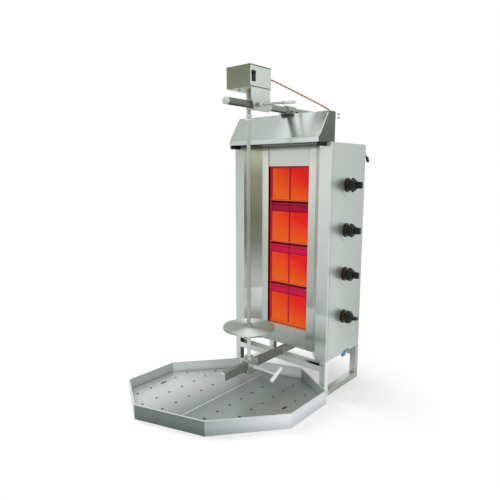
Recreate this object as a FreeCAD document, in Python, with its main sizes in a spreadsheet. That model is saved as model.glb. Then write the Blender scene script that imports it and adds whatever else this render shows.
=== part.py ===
import FreeCAD, Part
import math
import os
import re
import Sketcher

# Gas doner kebab grill. Millimetres, +Z up, +Y from the burners' front to the back, +X to the knobs.
# Heights are above the floor; sides and depths are from the cabinet's middle and its front flanges.
doc = FreeCAD.newDocument("DonerGrill")
sheet = doc.addObject("Spreadsheet::Sheet", "Sizes")

sizes = {
    # The model's origin is on the floor, in the middle of the whole grill's outline.
    "middle_side": -47.97,  # origin from the cabinet's middle, to the right
    "middle_depth": -142.6215,  # origin from the front flanges, to the back
    # Cabinet
    "skin": 1.2,  # sheet steel
    "cabinet_width": 470,  # over the side panels
    "cabinet_depth": 270,  # front flanges to back
    "cabinet_low": 148,  # underside of the cabinet
    "cabinet_high": 993,  # top of the cabinet
    "flange_width": 49,  # front flange beside the reflector
    "reflector_depth": 60,  # how far the reflectors slope in
    "strip_edge": 135,  # middle to the reflector's inner edge
    "window_half": 102,  # middle to the side of the burner window
    "window_low": 231,  # lower edge of the burner window
    "window_high": 909,  # upper edge of the burner window
    "recess": 15,  # from the strips back to the burners
    "panel_return": 20,  # folded edge of the side panels
    "bend_radius": 2,  # outside of a bend
    "burner_rail": 16,  # folded rail that the burners are screwed to
    "fascia_gap": 2,  # gap beside the fascia plates
    "vent_length": 120,  # vent slot
    "vent_width": 8,  # vent slot
    "vent_pitch": 24,  # from slot to slot
    # Frame of square tube
    "tube": 25,  # square tube
    "tube_wall": 1.5,  # square tube wall
    "crossbar_low": 104,  # underside of the crossbars
    "crossbar_lip": 23.5,  # height of a crossbar's outer wall
    "crossbar_rise": 32.5,  # height of a crossbar's inner wall
    # Burners
    "burner_pitch": 176,  # from burner to burner
    "first_burner": 308,  # height of the lowest burner's centre
    "burner_seam": 1.5,  # gap between burner housings
    "burner_depth": 44,  # burner housing
    "housing_wall": 2,  # burner housing
    "plaque_width": 92,  # ceramic plaque
    "plaque_height": 132,  # ceramic plaque
    "plaque_thick": 13,  # ceramic plaque
    "plaque_lip": 2,  # how far the frame covers a plaque's edge
    "plaque_parting": 6,  # bar between two plaques
    "venturi_radius": 17,  # mixing tube
    "mouth_length": 10,  # flared mouth of a mixing tube
    "nozzle_gap": 4,  # from the mouth to the nozzle's shoulder
    "nozzle_length": 8.5,  # nozzle up to the supply tube
    # Hood
    "hood_inset": 18,  # hood's ends inside the cabinet's sides
    "hood_reach": 54,  # hood's lip in front of the flanges
    "lip_height": 18,  # upright lip
    "crest": 9,  # top edge behind the flanges
    "hood_back": 55,  # hood's back wall behind the flanges
    "hood_high": 1106,  # top of the hood
    "hood_edge": 12,  # folded edges at the hood's foot
    "end_block_width": 8,  # block under the hood's end
    "end_block_height": 14,  # block under the hood's end
    # Arms
    "arm_side": 30,  # upper arm beside the spit
    "arm_high": 1120,  # upper arm's centre
    "arm_radius": 12.5,  # upper arm
    "arm_wall": 2,  # both arms' wall
    "arm_reach": 330,  # both arms in front of the flanges
    "arm_inset": 8,  # both arms' rear ends before the cabinet's back
    "plug_length": 16,  # rounded plug in the upper arm
    "lower_arm_width": 20,  # lower arm
    "lower_arm_height": 30,  # lower arm
    "lower_arm_low": 120,  # underside of the lower arm
    "post_setback": 20,  # rear post's centre before the arm's end
    "saddle_wall": 4.5,  # saddle round the upper arm
    "saddle_length": 56,  # saddle along the arm
    "saddle_front": 5,  # saddle's front end before the flanges
    "saddle_foot": 13,  # saddle's feet
    # Spit and its carriages
    "spit_reach": 184.5,  # spit in front of the flanges
    "spit_radius": 7,  # spit rod
    "spit_foot": 163,  # lower end of the spit rod
    "drive_radius": 9,  # drive shaft
    "shaft_entry": 14,  # drive shaft inside the motor box
    "drive_low": 1108,  # lower end of the drive shaft's thick part
    "shaft_neck": 7.9,  # drive shaft's neck
    "coupling_high": 1092,  # top of the coupling sleeve
    "coupling_length": 25,  # coupling sleeve
    "coupling_radius": 10.5,  # coupling sleeve
    "coupling_waist": 9.2,  # coupling sleeve between its two rings
    "disc_high": 292,  # meat disc's centre
    "disc_radius": 100,  # meat disc
    "disc_thick": 4,  # meat disc
    "disc_rim": 6,  # turned-down rim of the meat disc
    "hub_radius": 14,  # meat disc's hub
    "hub_height": 26,  # meat disc's hub
    "pin_radius": 2.5,  # pins on the hub
    "pin_reach": 26,  # pins' ends from the spit's axis
    "sleeve_radius": 18,  # sleeve on the upper arm
    "sleeve_ahead": 21.5,  # sleeve's front end before the spit's axis
    "sleeve_length": 94,  # sleeve on the upper arm
    "bush_length": 6,  # bush at the sleeve's end
    "carriage_ahead": 23.5,  # lower carriage's front end before the spit's axis
    "carriage_length": 58,  # lower carriage
    "carriage_wall": 7,  # lower carriage round the arm
    "carriage_base": 15,  # lower carriage under the arm
    "cup_radius": 17,  # cup that holds the spit's foot
    "cup_high": 172,  # top of the cup
    "bush_wall": 4,  # bush in the cup
    # Motor box
    "box_half_width": 55,  # motor box from its middle
    "box_ahead": 56.5,  # motor box before the spit's axis
    "box_length": 114,  # motor box
    "box_low": 1176,  # motor box
    "box_height": 74,  # motor box
    "cover_inset": 1.6,  # seam above and below the side covers
    "bracket_thick": 3,  # bracket under the motor box
    "bracket_gap": 2,  # pad between the sleeve and the bracket
    "bracket_inset": 9,  # bracket's front edge behind the box's
    "bracket_low": 1098,  # bracket's lower edge
    "bracket_setback": 24,  # bracket's lower front corner
    "motor_radius": 32,  # gear motor
    "switch_width": 18,  # rocker switch's frame
    "switch_height": 36,  # rocker switch's frame
    "switch_inset": 10,  # switch behind the box's front
    "switch_low": 1194,  # switch's lower edge
    "switch_proud": 2,  # switch frame's rim
    "switch_depth": 13,  # switch inside the box
    "rocker_tilt": 7,  # rocker's angle each way
    # Clamps
    "lever_high": 1119,  # clamp screw's centre
    "lever_ahead": 10.5,  # clamp screw before the spit's axis
    "lever_slope": 8.6,  # lever's angle above level
    "lever_length": 210,  # lever from its screw
    "lever_radius": 3.5,  # lever
    "grip_radius": 6.5,  # lever's grip and handle bar
    "grip_length": 78,  # lever's grip
    "screw_radius": 4,  # both clamp screws
    "handle_side": 123,  # handle bar's middle from the spit
    "handle_behind": 17.5,  # lower clamp screw behind the spit's axis
    "handle_slope": 29,  # handle bar's angle above level
    "handle_high": 124,  # lower clamp screw's centre
    "handle_length": 68,  # handle bar
    # Knobs and gas parts
    "knob_depth": 130,  # knobs behind the flanges
    "bezel_radius": 28,  # bezel disc
    "bezel_thick": 4,  # bezel disc
    "neck_radius": 9,  # valve's neck through the panel
    "ring_radius": 15,  # brass collar
    "ring_length": 4.5,  # brass collar in front of the bezel
    "knob_radius": 28,  # knob's skirt
    "knob_neck": 18,  # knob behind its skirt
    "knob_shoulder": 15,  # knob where its cone meets the grip bar
    "neck_length": 8,  # knob's neck
    "skirt_thick": 3,  # knob's skirt at its edge
    "cone_length": 18,  # knob's cone
    "knob_travel": 4,  # push
    "knob_grip": 22.5,  # grip bar beyond the cone
    "knob_flutes": 8,  # hollows round the knob's skirt
    "flute_radius": 9,  # hollow
    "flute_depth": 4,  # hollow
    "grip_width": 12,  # grip bar
    "grip_height": 27,  # grip bar
    "stem_radius": 4,  # knob's stem
    "stem_hold": 18,  # stem inside the knob
    "stem_floor": 4,  # valve's end wall behind the stem
    "valve_radius": 13,  # valve body
    "valve_length": 44,  # valve body
    "manifold_radius": 10,  # manifold
    "supply_radius": 4,  # supply tubes
    "manifold_low": 165,  # lower end of the manifold
    "tap_depth": 182,  # gas tap and manifold behind the flanges
    "tap_inset": 35,  # gas tap and manifold inside the right panel's face
    "tap_high": 138,  # gas tap's centre
    "tap_radius": 8,  # gas tap
    "tap_lever_length": 22,  # gas tap's lever below its centre
    "tap_lever_width": 30,  # gas tap's lever
    "inlet_radius": 10.5,  # gas inlet
    "inlet_high": 188,  # gas inlet
    "inlet_length": 16,  # gas inlet behind its nut
    "nut_radius": 15,  # nut round the gas inlet
    "nut_length": 6,  # nut round the gas inlet
    "notch_middle": 165,  # notch in the right side panel, behind the flanges
    "notch_length": 56,  # notch in the right side panel
    "notch_height": 9,  # notch in the right side panel
    # Drip tray
    "tray_inset": 298.94,  # tray's middle from the cabinet's right side
    "tray_reach": 255.0,  # tray's middle before the flanges
    "tray_skew": 0.312,  # how far the tray is skewed
    "tray_half_width": 330,  # tray
    "tray_half_depth": 287,  # tray
    "tray_front_half": 138,  # tray's front and back sides
    "tray_side_half": 115,  # tray's left and right sides
    "tray_height": 56.3,  # tray's rim
    "tray_skin": 1.5,  # tray's sheet
    "tray_hem": 4,  # folded rim
    "hem_height": 8,  # folded rim
    "plate_high": 12,  # top of the drip plates
    "plate_parting": -10,  # where the drip plates meet, from the tray's middle
    "drip_hole": 5,  # hole's radius in a drip plate
    "hole_middle": -18,  # middle between the rows of holes, from the tray's middle
    "hole_row": 85.5,  # from row to row
    "hole_pitch": 66,  # from hole to hole
    "finger_slot": 28,  # finger slot
    "hole_margin": 26,  # least distance from a hole to the plate's end
    # Cable and glands
    "cable_radius": 3,  # motor cable
    "gland_radius": 8,  # cable gland
    "gland_height": 18,  # cable gland
    "gland_inset": 23,  # cable gland inside the hood's right end
    "gland_depth": 79,  # cable gland behind the flanges
    "cable_side": 46,  # cable's exit from the motor box
    "cable_high": 1213.5,  # cable's exit from the motor box
    "relief_inset": 10,  # rear strain relief inside the right panel's face
    "relief_high": 955,  # rear strain relief
    "relief_length": 20,  # rear strain relief's sleeve
    # Clearances
    "running_gap": 0.3,  # between parts that turn or slide
    "fitting_gap": 0.5,  # between parts that lift out
}
for row, (alias, number) in enumerate(sizes.items(), 1):
    sheet.set("A%d" % row, alias.replace("_", " "))
    sheet.set("B%d" % row, str(number))
    sheet.setAlias("B%d" % row, alias)
doc.recompute()

# Places that several pieces share, in these sizes
places = {
    "hood_side": "cabinet_width / 2 - hood_inset",
    "tap_side": "cabinet_width / 2 - tap_inset",
    "tray_side": "cabinet_width / 2 - tray_inset",
    "gland_side": "cabinet_width / 2 - hood_inset - gland_inset",
    "relief_side": "cabinet_width / 2 - relief_inset",
    "arm_back": "cabinet_depth - arm_inset",
    "box_front": "spit_reach + box_ahead",
    "switch_front": "spit_reach + box_ahead - switch_inset",
    "sleeve_front": "spit_reach + sleeve_ahead",
    "lever_reach": "spit_reach + lever_ahead",
    "carriage_front": "spit_reach + carriage_ahead",
    "handle_reach": "spit_reach - handle_behind",
}


def in_sizes(text):
    return re.sub(r"[a-z_]+", lambda word: "(%s)" % places[word[0]] if word[0] in places else word[0], text)


def linked(text):
    return re.sub(r"[a-z_]+", lambda word: "Sizes." + word[0] if word[0] in sizes else word[0], in_sizes(text))


def value(text):
    found = sheet.evalExpression(in_sizes(text))
    return float(getattr(found, "Value", found))


def bind(item, **links):
    for name, text in links.items():
        item.setExpression(name, linked(text))


def put(item, x="0", y="0", z="0"):
    item.setExpression("Placement.Base.x", linked("%s - middle_side" % x))
    item.setExpression("Placement.Base.y", linked("%s - middle_depth" % y))
    item.setExpression("Placement.Base.z", linked(z))
    return item


ALONG = {
    "x": FreeCAD.Rotation(FreeCAD.Vector(0, 1, 0), 90),
    "y": FreeCAD.Rotation(FreeCAD.Vector(1, 0, 0), -90),
    "z": FreeCAD.Rotation(),
}


def bar(name, x, y, z, radius, length, along="z", turn=None):
    item = doc.addObject("Part::Cylinder", name)
    item.Placement = FreeCAD.Placement(FreeCAD.Vector(), turn or ALONG[along])
    bind(item, Radius=radius, Height=length)
    return put(item, x, y, z)


def cone(name, x, y, z, first, last, length, along="z"):
    item = doc.addObject("Part::Cone", name)
    item.Placement = FreeCAD.Placement(FreeCAD.Vector(), ALONG[along])
    bind(item, Radius1=first, Radius2=last, Height=length)
    return put(item, x, y, z)


def block(name, x, y, z, width, depth, height):
    item = doc.addObject("Part::Box", name)
    bind(item, Length=width, Width=depth, Height=height)
    return put(item, x, y, z)


def join(name, *pieces):
    item = doc.addObject("Part::MultiFuse", name)
    item.Shapes = list(pieces)
    return item


def cut(name, base, *tools):
    item = doc.addObject("Part::Cut", name)
    item.Base = base
    item.Tool = tools[0] if len(tools) == 1 else join(name + "Tools", *tools)
    return item


def group(name, *pieces):
    item = doc.addObject("Part::Compound", name)
    item.Links = list(pieces)
    return item


def plane_of(body, role):
    return [item for item in body.Origin.OriginFeatures if item.Role == role][0]


def sketch_on(body, name, role, offset=None):
    sketch = body.newObject("Sketcher::SketchObject", name)
    sketch.AttachmentSupport = (plane_of(body, role), [""])
    sketch.MapMode = "FlatFace"
    if offset:
        sketch.setExpression(".AttachmentOffset.Base.z", linked(offset))
    return sketch


def hold(sketch, kind, line, text, axis):
    if text == "0":
        sketch.addConstraint(Sketcher.Constraint("PointOnObject", line, 1, axis))
        return
    number = sketch.addConstraint(Sketcher.Constraint(kind, -1, 1, line, 1, value(text)))
    sketch.setExpression("Constraints[%d]" % number, linked(text))


def add_lines(sketch, corners, closed=True):
    first = sketch.GeometryCount
    count = len(corners) if closed else len(corners) - 1
    spots = [FreeCAD.Vector(*corner, 0) for corner in corners]
    for index in range(count):
        sketch.addGeometry(Part.LineSegment(spots[index], spots[(index + 1) % len(spots)]), False)
    for index in range(count if closed else count - 1):
        following = first + (index + 1) % count
        sketch.addConstraint(Sketcher.Constraint("Coincident", first + index, 2, following, 1))
    return first


def polygon(sketch, points):
    first = add_lines(sketch, [(value(across), value(up)) for across, up in points])
    for index, (across, up) in enumerate(points):
        hold(sketch, "DistanceX", first + index, across, -2)
        hold(sketch, "DistanceY", first + index, up, -1)
    return first


def rectangle(sketch, left, low, right, high):
    return polygon(sketch, [(left, low), (right, low), (right, high), (left, high)])


def circle(sketch, across, up, radius):
    centre = FreeCAD.Vector(value(across), value(up), 0)
    line = sketch.addGeometry(Part.Circle(centre, FreeCAD.Vector(0, 0, 1), value(radius)), False)
    number = sketch.addConstraint(Sketcher.Constraint("Radius", line, value(radius)))
    sketch.setExpression("Constraints[%d]" % number, linked(radius))
    for kind, text, axis in (("DistanceX", across, -2), ("DistanceY", up, -1)):
        if text == "0":
            sketch.addConstraint(Sketcher.Constraint("PointOnObject", line, 3, axis))
            continue
        number = sketch.addConstraint(Sketcher.Constraint(kind, -1, 1, line, 3, value(text)))
        sketch.setExpression("Constraints[%d]" % number, linked(text))


def shifted(corners, distance, closed):
    """The same outline, moved sideways by a distance: to the left of its direction where positive."""
    result = []
    count = len(corners)
    for index, corner in enumerate(corners):
        sides = []
        for start in (index - 1, index):
            if closed or 0 <= start < count - 1:
                a = corners[start % count]
                b = corners[(start + 1) % count]
                run = math.hypot(b[0] - a[0], b[1] - a[1])
                sides.append(((a[1] - b[1]) / run, (b[0] - a[0]) / run))
        first = sides[0]
        last = sides[-1]
        scale = distance / (1 + first[0] * last[0] + first[1] * last[1])
        result.append((corner[0] + scale * (first[0] + last[0]), corner[1] + scale * (first[1] + last[1])))
    return result


def parallel_outline(sketch, first, count, distance, side, closed=True):
    """Lines parallel to a drawn outline, at a bound distance from it."""
    corners = []
    for index in range(count):
        corners.append(sketch.getPoint(first + index, 1))
    if not closed:
        corners.append(sketch.getPoint(first + count - 1, 2))
    flat = [(corner.x, corner.y) for corner in corners]
    other = add_lines(sketch, shifted(flat, side * value(distance), closed), closed)
    for index in range(count):
        sketch.addConstraint(Sketcher.Constraint("Parallel", first + index, other + index))
        number = sketch.addConstraint(
            Sketcher.Constraint("Distance", other + index, 1, first + index, value(distance)))
        sketch.setExpression("Constraints[%d]" % number, linked(distance))
    return other


def folded(sketch, points, thickness, side):
    """The section of a folded sheet: an open outline and its parallel, closed at both ends."""
    corners = [(value(across), value(up)) for across, up in points]
    count = len(points) - 1
    first = add_lines(sketch, corners, False)
    for index, (across, up) in enumerate(points[:-1]):
        hold(sketch, "DistanceX", first + index, across, -2)
        hold(sketch, "DistanceY", first + index, up, -1)
    for kind, text in (("DistanceX", points[-1][0]), ("DistanceY", points[-1][1])):
        number = sketch.addConstraint(Sketcher.Constraint(kind, -1, 1, first + count - 1, 2, value(text)))
        sketch.setExpression("Constraints[%d]" % number, linked(text))
    other = parallel_outline(sketch, first, count, thickness, side, False)
    for line, near, point in ((first, other, 1), (first + count - 1, other + count - 1, 2)):
        start = sketch.getPoint(line, point)
        end = sketch.getPoint(near, point)
        cap = sketch.addGeometry(Part.LineSegment(start, end), False)
        sketch.addConstraint(Sketcher.Constraint("Coincident", cap, 1, line, point))
        sketch.addConstraint(Sketcher.Constraint("Coincident", cap, 2, near, point))
        sketch.addConstraint(Sketcher.Constraint("Perpendicular", cap, line))


def pad(body, sketch, length, back=False, middle=False):
    feature = body.newObject("PartDesign::Pad", sketch.Name + "Pad")
    feature.Profile = sketch
    feature.Reversed = back
    feature.Midplane = middle
    bind(feature, Length=length)
    return feature


def pocket(body, sketch, length, back=False, middle=False):
    feature = body.newObject("PartDesign::Pocket", sketch.Name + "Pocket")
    feature.Profile = sketch
    feature.Reversed = back
    feature.Midplane = middle
    bind(feature, Length=length)
    return feature


def revolve(body, sketch, axis="V_Axis"):
    """Turns a sketch once round one of its own axes."""
    feature = body.newObject("PartDesign::Revolution", sketch.Name + "Turned")
    feature.Profile = sketch
    feature.ReferenceAxis = (sketch, [axis])
    feature.Angle = 360
    return feature


def round_edges(body, name, radius, wanted):
    doc.recompute()
    feature = body.newObject("PartDesign::Fillet", name)
    base = body.Shape
    names = ["Edge%d" % (index + 1) for index, edge in enumerate(base.Edges) if wanted(edge)]
    feature.Base = (body.Tip if body.Tip is not feature else feature.BaseFeature, names)
    bind(feature, Radius=radius)
    return feature


def new_body(name):
    return doc.addObject("PartDesign::Body", name)


sub_parts = []


def finished(item, label):
    item.Label = label
    sub_parts.append(item)
    return item


def square_tube(name, x, y, z, along, length, width="tube", height="tube", wall="tube_wall"):
    """A hollow rectangular tube whose corner is at the given place."""
    spans = {"x": (length, width, height), "y": (width, length, height), "z": (width, height, length)}
    outer = block(name + "Outer", x, y, z, *spans[along])
    starts = {"x": (x, y + " + " + wall, z + " + " + wall),
              "y": (x + " + " + wall, y, z + " + " + wall),
              "z": (x + " + " + wall, y + " + " + wall, z)}
    inside = "%s - 2 * " + wall
    bores = {"x": (length, inside % width, inside % height),
             "y": (inside % width, length, inside % height),
             "z": (inside % width, inside % height, length)}
    return cut(name, outer, block(name + "Bore", *starts[along], *bores[along]))


# Frame: two rails on the floor, four legs, two folded crossbars
half = "cabinet_width / 2"
rails = []
legs = []
for side, edge in (("Left", "-" + half), ("Right", half + " - tube")):
    rails.append(square_tube(side + "Rail", edge, "0", "0", "y", "cabinet_depth"))
    for end, depth in (("Front", "0"), ("Rear", "cabinet_depth - tube")):
        legs.append(square_tube(side + end + "Leg", edge, depth, "tube", "z", "cabinet_low - tube"))
finished(group("BaseRails", *rails), "base_rails")
finished(group("Legs", *legs), "legs")


def crossbar(name, label, start, side):
    body = new_body(name)
    profile = sketch_on(body, name + "Profile", "YZ_Plane")
    far = start + " + " + side + " * tube"
    points = [(start, "crossbar_low + crossbar_lip"), (start, "crossbar_low"), (far, "crossbar_low"),
              (far, "crossbar_low + crossbar_rise")]
    folded(profile, points, "skin", int(side))
    pad(body, profile, "cabinet_width - 2 * tube", middle=True)
    notch = sketch_on(body, name + "Notch", "XZ_Plane")
    wide = "lower_arm_width / 2 + running_gap"
    rectangle(notch, "-(" + wide + ")", "lower_arm_low", wide, "crossbar_low + crossbar_rise + 1")
    pocket(body, notch, "2 * cabinet_depth + 2 * tube", middle=True)
    put(body)
    return finished(body, label)


crossbar("FrontCrossbar", "front_crossbar", "0", "1")
crossbar("RearCrossbar", "rear_crossbar", "cabinet_depth", "-1")


# Cabinet: two folded side panels, two columns with their reflectors, plates in front, back and on top
burner_rows = ["(first_burner + %d * burner_pitch)" % row for row in range(4)]


def slot(sketch, across, up, length, radius, upright=False):
    """A slot with round ends, held by the centres of its two arcs."""
    reach = "(%s / 2 - %s)" % (length, radius)
    centres = []
    for sign in ("-", "+"):
        shift = " %s %s" % (sign, reach)
        centres.append((across, up + shift) if upright else (across + shift, up))
    quarter = math.pi / 2
    middle = 3 * quarter if upright else 2 * quarter
    arcs = []
    for index, (right, rise) in enumerate(centres):
        whole = Part.Circle(FreeCAD.Vector(value(right), value(rise), 0), FreeCAD.Vector(0, 0, 1), value(radius))
        start = middle - quarter + 2 * quarter * index
        arcs.append(sketch.addGeometry(Part.ArcOfCircle(whole, start, start + 2 * quarter), False))
        for kind, text in (("DistanceX", right), ("DistanceY", rise)):
            number = sketch.addConstraint(Sketcher.Constraint(kind, -1, 1, arcs[-1], 3, value(text)))
            sketch.setExpression("Constraints[%d]" % number, linked(text))
    number = sketch.addConstraint(Sketcher.Constraint("Radius", arcs[0], value(radius)))
    sketch.setExpression("Constraints[%d]" % number, linked(radius))
    for near, far in ((arcs[0], arcs[1]), (arcs[1], arcs[0])):
        start = sketch.getPoint(near, 2)
        end = sketch.getPoint(far, 1)
        side = sketch.addGeometry(Part.LineSegment(start, end), False)
        sketch.addConstraint(Sketcher.Constraint("Tangent", near, 2, side, 1))
        sketch.addConstraint(Sketcher.Constraint("Tangent", side, 2, far, 1))


def upright_edges(side, depth):
    """Picks a body's straight upright edges at a distance from its middle and at a depth."""
    def wanted(edge):
        spots = [vertex.Point for vertex in edge.Vertexes]
        if len(spots) != 2 or (spots[0] - spots[1]).cross(FreeCAD.Vector(0, 0, 1)).Length > 0.01:
            return False
        return abs(abs(spots[0].x) - value(side)) < 0.01 and abs(spots[0].y - value(depth)) < 0.01
    return wanted


def side_panel(name, label, side):
    body = new_body(name)
    profile = sketch_on(body, name + "Profile", "XY_Plane")
    edge = side + " * cabinet_width / 2"
    turn = side + " * (cabinet_width / 2 - panel_return)"
    points = [(turn, "skin"), (edge, "skin"), (edge, "cabinet_depth"), (turn, "cabinet_depth")]
    folded(profile, points, "skin", int(side))
    pad(body, profile, "cabinet_high - cabinet_low")
    if side == "1":
        holes = sketch_on(body, name + "Holes", "YZ_Plane")
        for row in burner_rows:
            circle(holes, "knob_depth", row + " - cabinet_low", "neck_radius + running_gap")
        ends = ["notch_middle - notch_length / 2", "notch_middle + notch_length / 2"]
        polygon(holes, [(ends[0], "0"), (ends[1], "0"), (ends[1] + " - notch_height", "notch_height"),
                        (ends[0] + " + notch_height", "notch_height")])
        pocket(body, holes, "2 * cabinet_width", middle=True)
    round_edges(body, name + "Bend", "bend_radius", upright_edges("cabinet_width / 2", "cabinet_depth"))
    put(body, z="cabinet_low")
    return finished(body, label)


side_panel("LeftPanel", "left_side_panel", "-1")
side_panel("RightPanel", "right_side_panel", "1")


def column(name, label, side):
    """Flange, sloping reflector, strip, recess wall and burner rail, folded from one sheet."""
    body = new_body(name)
    profile = sketch_on(body, name + "Profile", "XY_Plane")
    inner = "(cabinet_width / 2 - flange_width)"
    back = "reflector_depth + recess"
    places = [("cabinet_width / 2", "0"), (inner, "0"), ("strip_edge", "reflector_depth"),
              ("window_half", "reflector_depth"), ("window_half", back), ("window_half + burner_rail", back)]
    folded(profile, [("%s * (%s)" % (side, across), depth) for across, depth in places], "skin", -int(side))
    pad(body, profile, "cabinet_high - cabinet_low")
    put(body, z="cabinet_low")
    return finished(body, label)


column("LeftColumn", "left_column", "-1")
column("RightColumn", "right_column", "1")


def fascia(name, label, far, near):
    """A plate before the burners, with its edge at the window folded back."""
    body = new_body(name)
    profile = sketch_on(body, name + "Profile", "YZ_Plane")
    front = "(reflector_depth + fascia_gap)"
    points = [(front, far), (front, near), ("reflector_depth + recess", near)]
    folded(profile, points, "skin", -1 if far == "cabinet_low" else 1)
    pad(body, profile, "2 * (window_half - fascia_gap)", middle=True)
    if far == "cabinet_low":
        notch = sketch_on(body, name + "Notch", "XZ_Plane")
        wide = "(lower_arm_width / 2 + running_gap)"
        rectangle(notch, "-" + wide, "cabinet_low - 1", wide, "lower_arm_low + lower_arm_height + running_gap")
        pocket(body, notch, "2 * cabinet_depth", middle=True)
    put(body)
    return finished(body, label)


fascia("TopFascia", "top_fascia", "cabinet_high", "window_high")
fascia("LowerFascia", "lower_fascia", "cabinet_low", "window_low")


def vents(body, name, role, starts, rows, offset=None):
    """Columns of slots, repeated up or back by a linear pattern."""
    sketch = sketch_on(body, name + "Slots", role, offset)
    for across, up in starts:
        slot(sketch, across, up, "vent_length", "vent_width / 2")
    first = pocket(body, sketch, "2 * cabinet_depth", middle=True)
    pattern = body.newObject("PartDesign::LinearPattern", name + "Vents")
    pattern.Originals = [first]
    pattern.Direction = (sketch, ["V_Axis"])
    pattern.Occurrences = rows
    bind(pattern, Length="vent_pitch * %d" % (rows - 1))
    body.Tip = pattern


back_panel = new_body("BackPanel")
outline = sketch_on(back_panel, "BackOutline", "XZ_Plane", "-(cabinet_depth - skin)")
rectangle(outline, "-(cabinet_width / 2 - skin)", "cabinet_low", "cabinet_width / 2 - skin", "cabinet_high")
pad(back_panel, outline, "skin")
vent_side = "(vent_length / 2 + vent_width)"
vents(back_panel, "Back", "XZ_Plane",
      [("-" + vent_side, "cabinet_low + 2 * vent_pitch"), (vent_side, "cabinet_low + 2 * vent_pitch")], 5)
inlet_way = sketch_on(back_panel, "BackInletWay", "XZ_Plane")
circle(inlet_way, "tap_side", "inlet_high", "inlet_radius + running_gap")
pocket(back_panel, inlet_way, "2 * cabinet_depth", middle=True)
put(back_panel)
finished(back_panel, "back_panel")

top_panel = new_body("TopPanel")
outline = sketch_on(top_panel, "TopOutline", "XY_Plane", "cabinet_high")
beside = "(hood_side + running_gap)"
wide = "cabinet_width / 2"
polygon(outline, [("-" + wide, "0"), ("-" + beside, "0"), ("-" + beside, "hood_back"), (beside, "hood_back"),
                  (beside, "0"), (wide, "0"), (wide, "cabinet_depth"), ("-" + wide, "cabinet_depth")])
pad(top_panel, outline, "skin")
vents(top_panel, "Top", "XY_Plane",
      [("-" + vent_side, "hood_back + 2 * vent_pitch"), ("2 * " + vent_side, "hood_back + 2 * vent_pitch")], 5,
      "cabinet_high")
put(top_panel)
finished(top_panel, "top_panel")


# Burners: a housing with two windows, and two ceramic plaques between its front and its ledge
face = "reflector_depth + recess"
window_reach = "(plaque_width - 2 * plaque_lip + plaque_parting / 2)"
window_rise = "(plaque_height / 2 - plaque_lip)"
seat_reach = "(plaque_parting / 2 + plaque_width - plaque_lip + running_gap)"
seat_rise = "(plaque_height / 2 + running_gap)"
inside = "(cabinet_width / 2 - skin)"
valve_back = inside + " - valve_length"
supply_bend = valve_back + " - 3 * supply_radius"
nozzle_end = supply_bend + " - nozzle_length"
plaques = []
for row, middle in enumerate(burner_rows):
    name = "Burner%d" % (row + 1)
    tall = "(burner_pitch - burner_seam)"
    wide = "(window_half + burner_rail - fascia_gap)"
    flange = block(name + "Flange", "-" + wide, face, middle + " - " + tall + " / 2", "2 * " + wide, "skin", tall)
    wall = "(%s + housing_wall)"
    outer = block(name + "Outer", "-" + wall % seat_reach, face, middle + " - " + wall % seat_rise,
                  "2 * " + wall % seat_reach, "burner_depth", "2 * " + wall % seat_rise)
    seat = block(name + "Seat", "-" + seat_reach, face + " + skin", middle + " - " + seat_rise,
                 "2 * " + seat_reach, "plaque_thick + running_gap", "2 * " + seat_rise)
    cavity = block(name + "Cavity", "-" + window_reach, face + " + skin", middle + " - " + window_rise,
                   "2 * " + window_reach, "burner_depth - skin - housing_wall", "2 * " + window_rise)
    windows = []
    for hand, side, start in (("Left", "-1", "-" + window_reach), ("Right", "1", "plaque_parting / 2")):
        windows.append(block(name + hand + "Window", start, face + " - 1", middle + " - " + window_rise,
                             "plaque_width - 2 * plaque_lip", "skin + 2", "2 * " + window_rise))
        centre = side + " * (plaque_parting / 2 + plaque_width / 2 - plaque_lip)"
        plaques.append(block(name + hand + "Plaque", centre + " - plaque_width / 2",
                             face + " + skin + running_gap / 2", middle + " - plaque_height / 2",
                             "plaque_width", "plaque_thick", "plaque_height"))
    deep = face + " + burner_depth / 2"
    start = wall % seat_reach
    mouth_start = nozzle_end + " - nozzle_gap - mouth_length"
    venturi_reach = "(%s - (%s))" % (mouth_start, start)
    tube_body = bar(name + "Venturi", start + " - 1", deep, middle, "venturi_radius",
                    venturi_reach + " + 1", "x")
    mouth = cone(name + "Mouth", mouth_start, deep, middle, "venturi_radius",
                 "venturi_radius + mouth_length / 2", "mouth_length", "x")
    bore = bar(name + "Bore", window_reach + " - 1", deep, middle, "venturi_radius - housing_wall",
               venturi_reach + " + 3 * mouth_length", "x")
    shell = join(name + "Shell", flange, outer, tube_body, mouth)
    finished(cut(name, shell, seat, cavity, bore, *windows), "burner_%d" % (row + 1))
finished(group("Plaques", *plaques), "ceramic_plaques")


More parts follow.
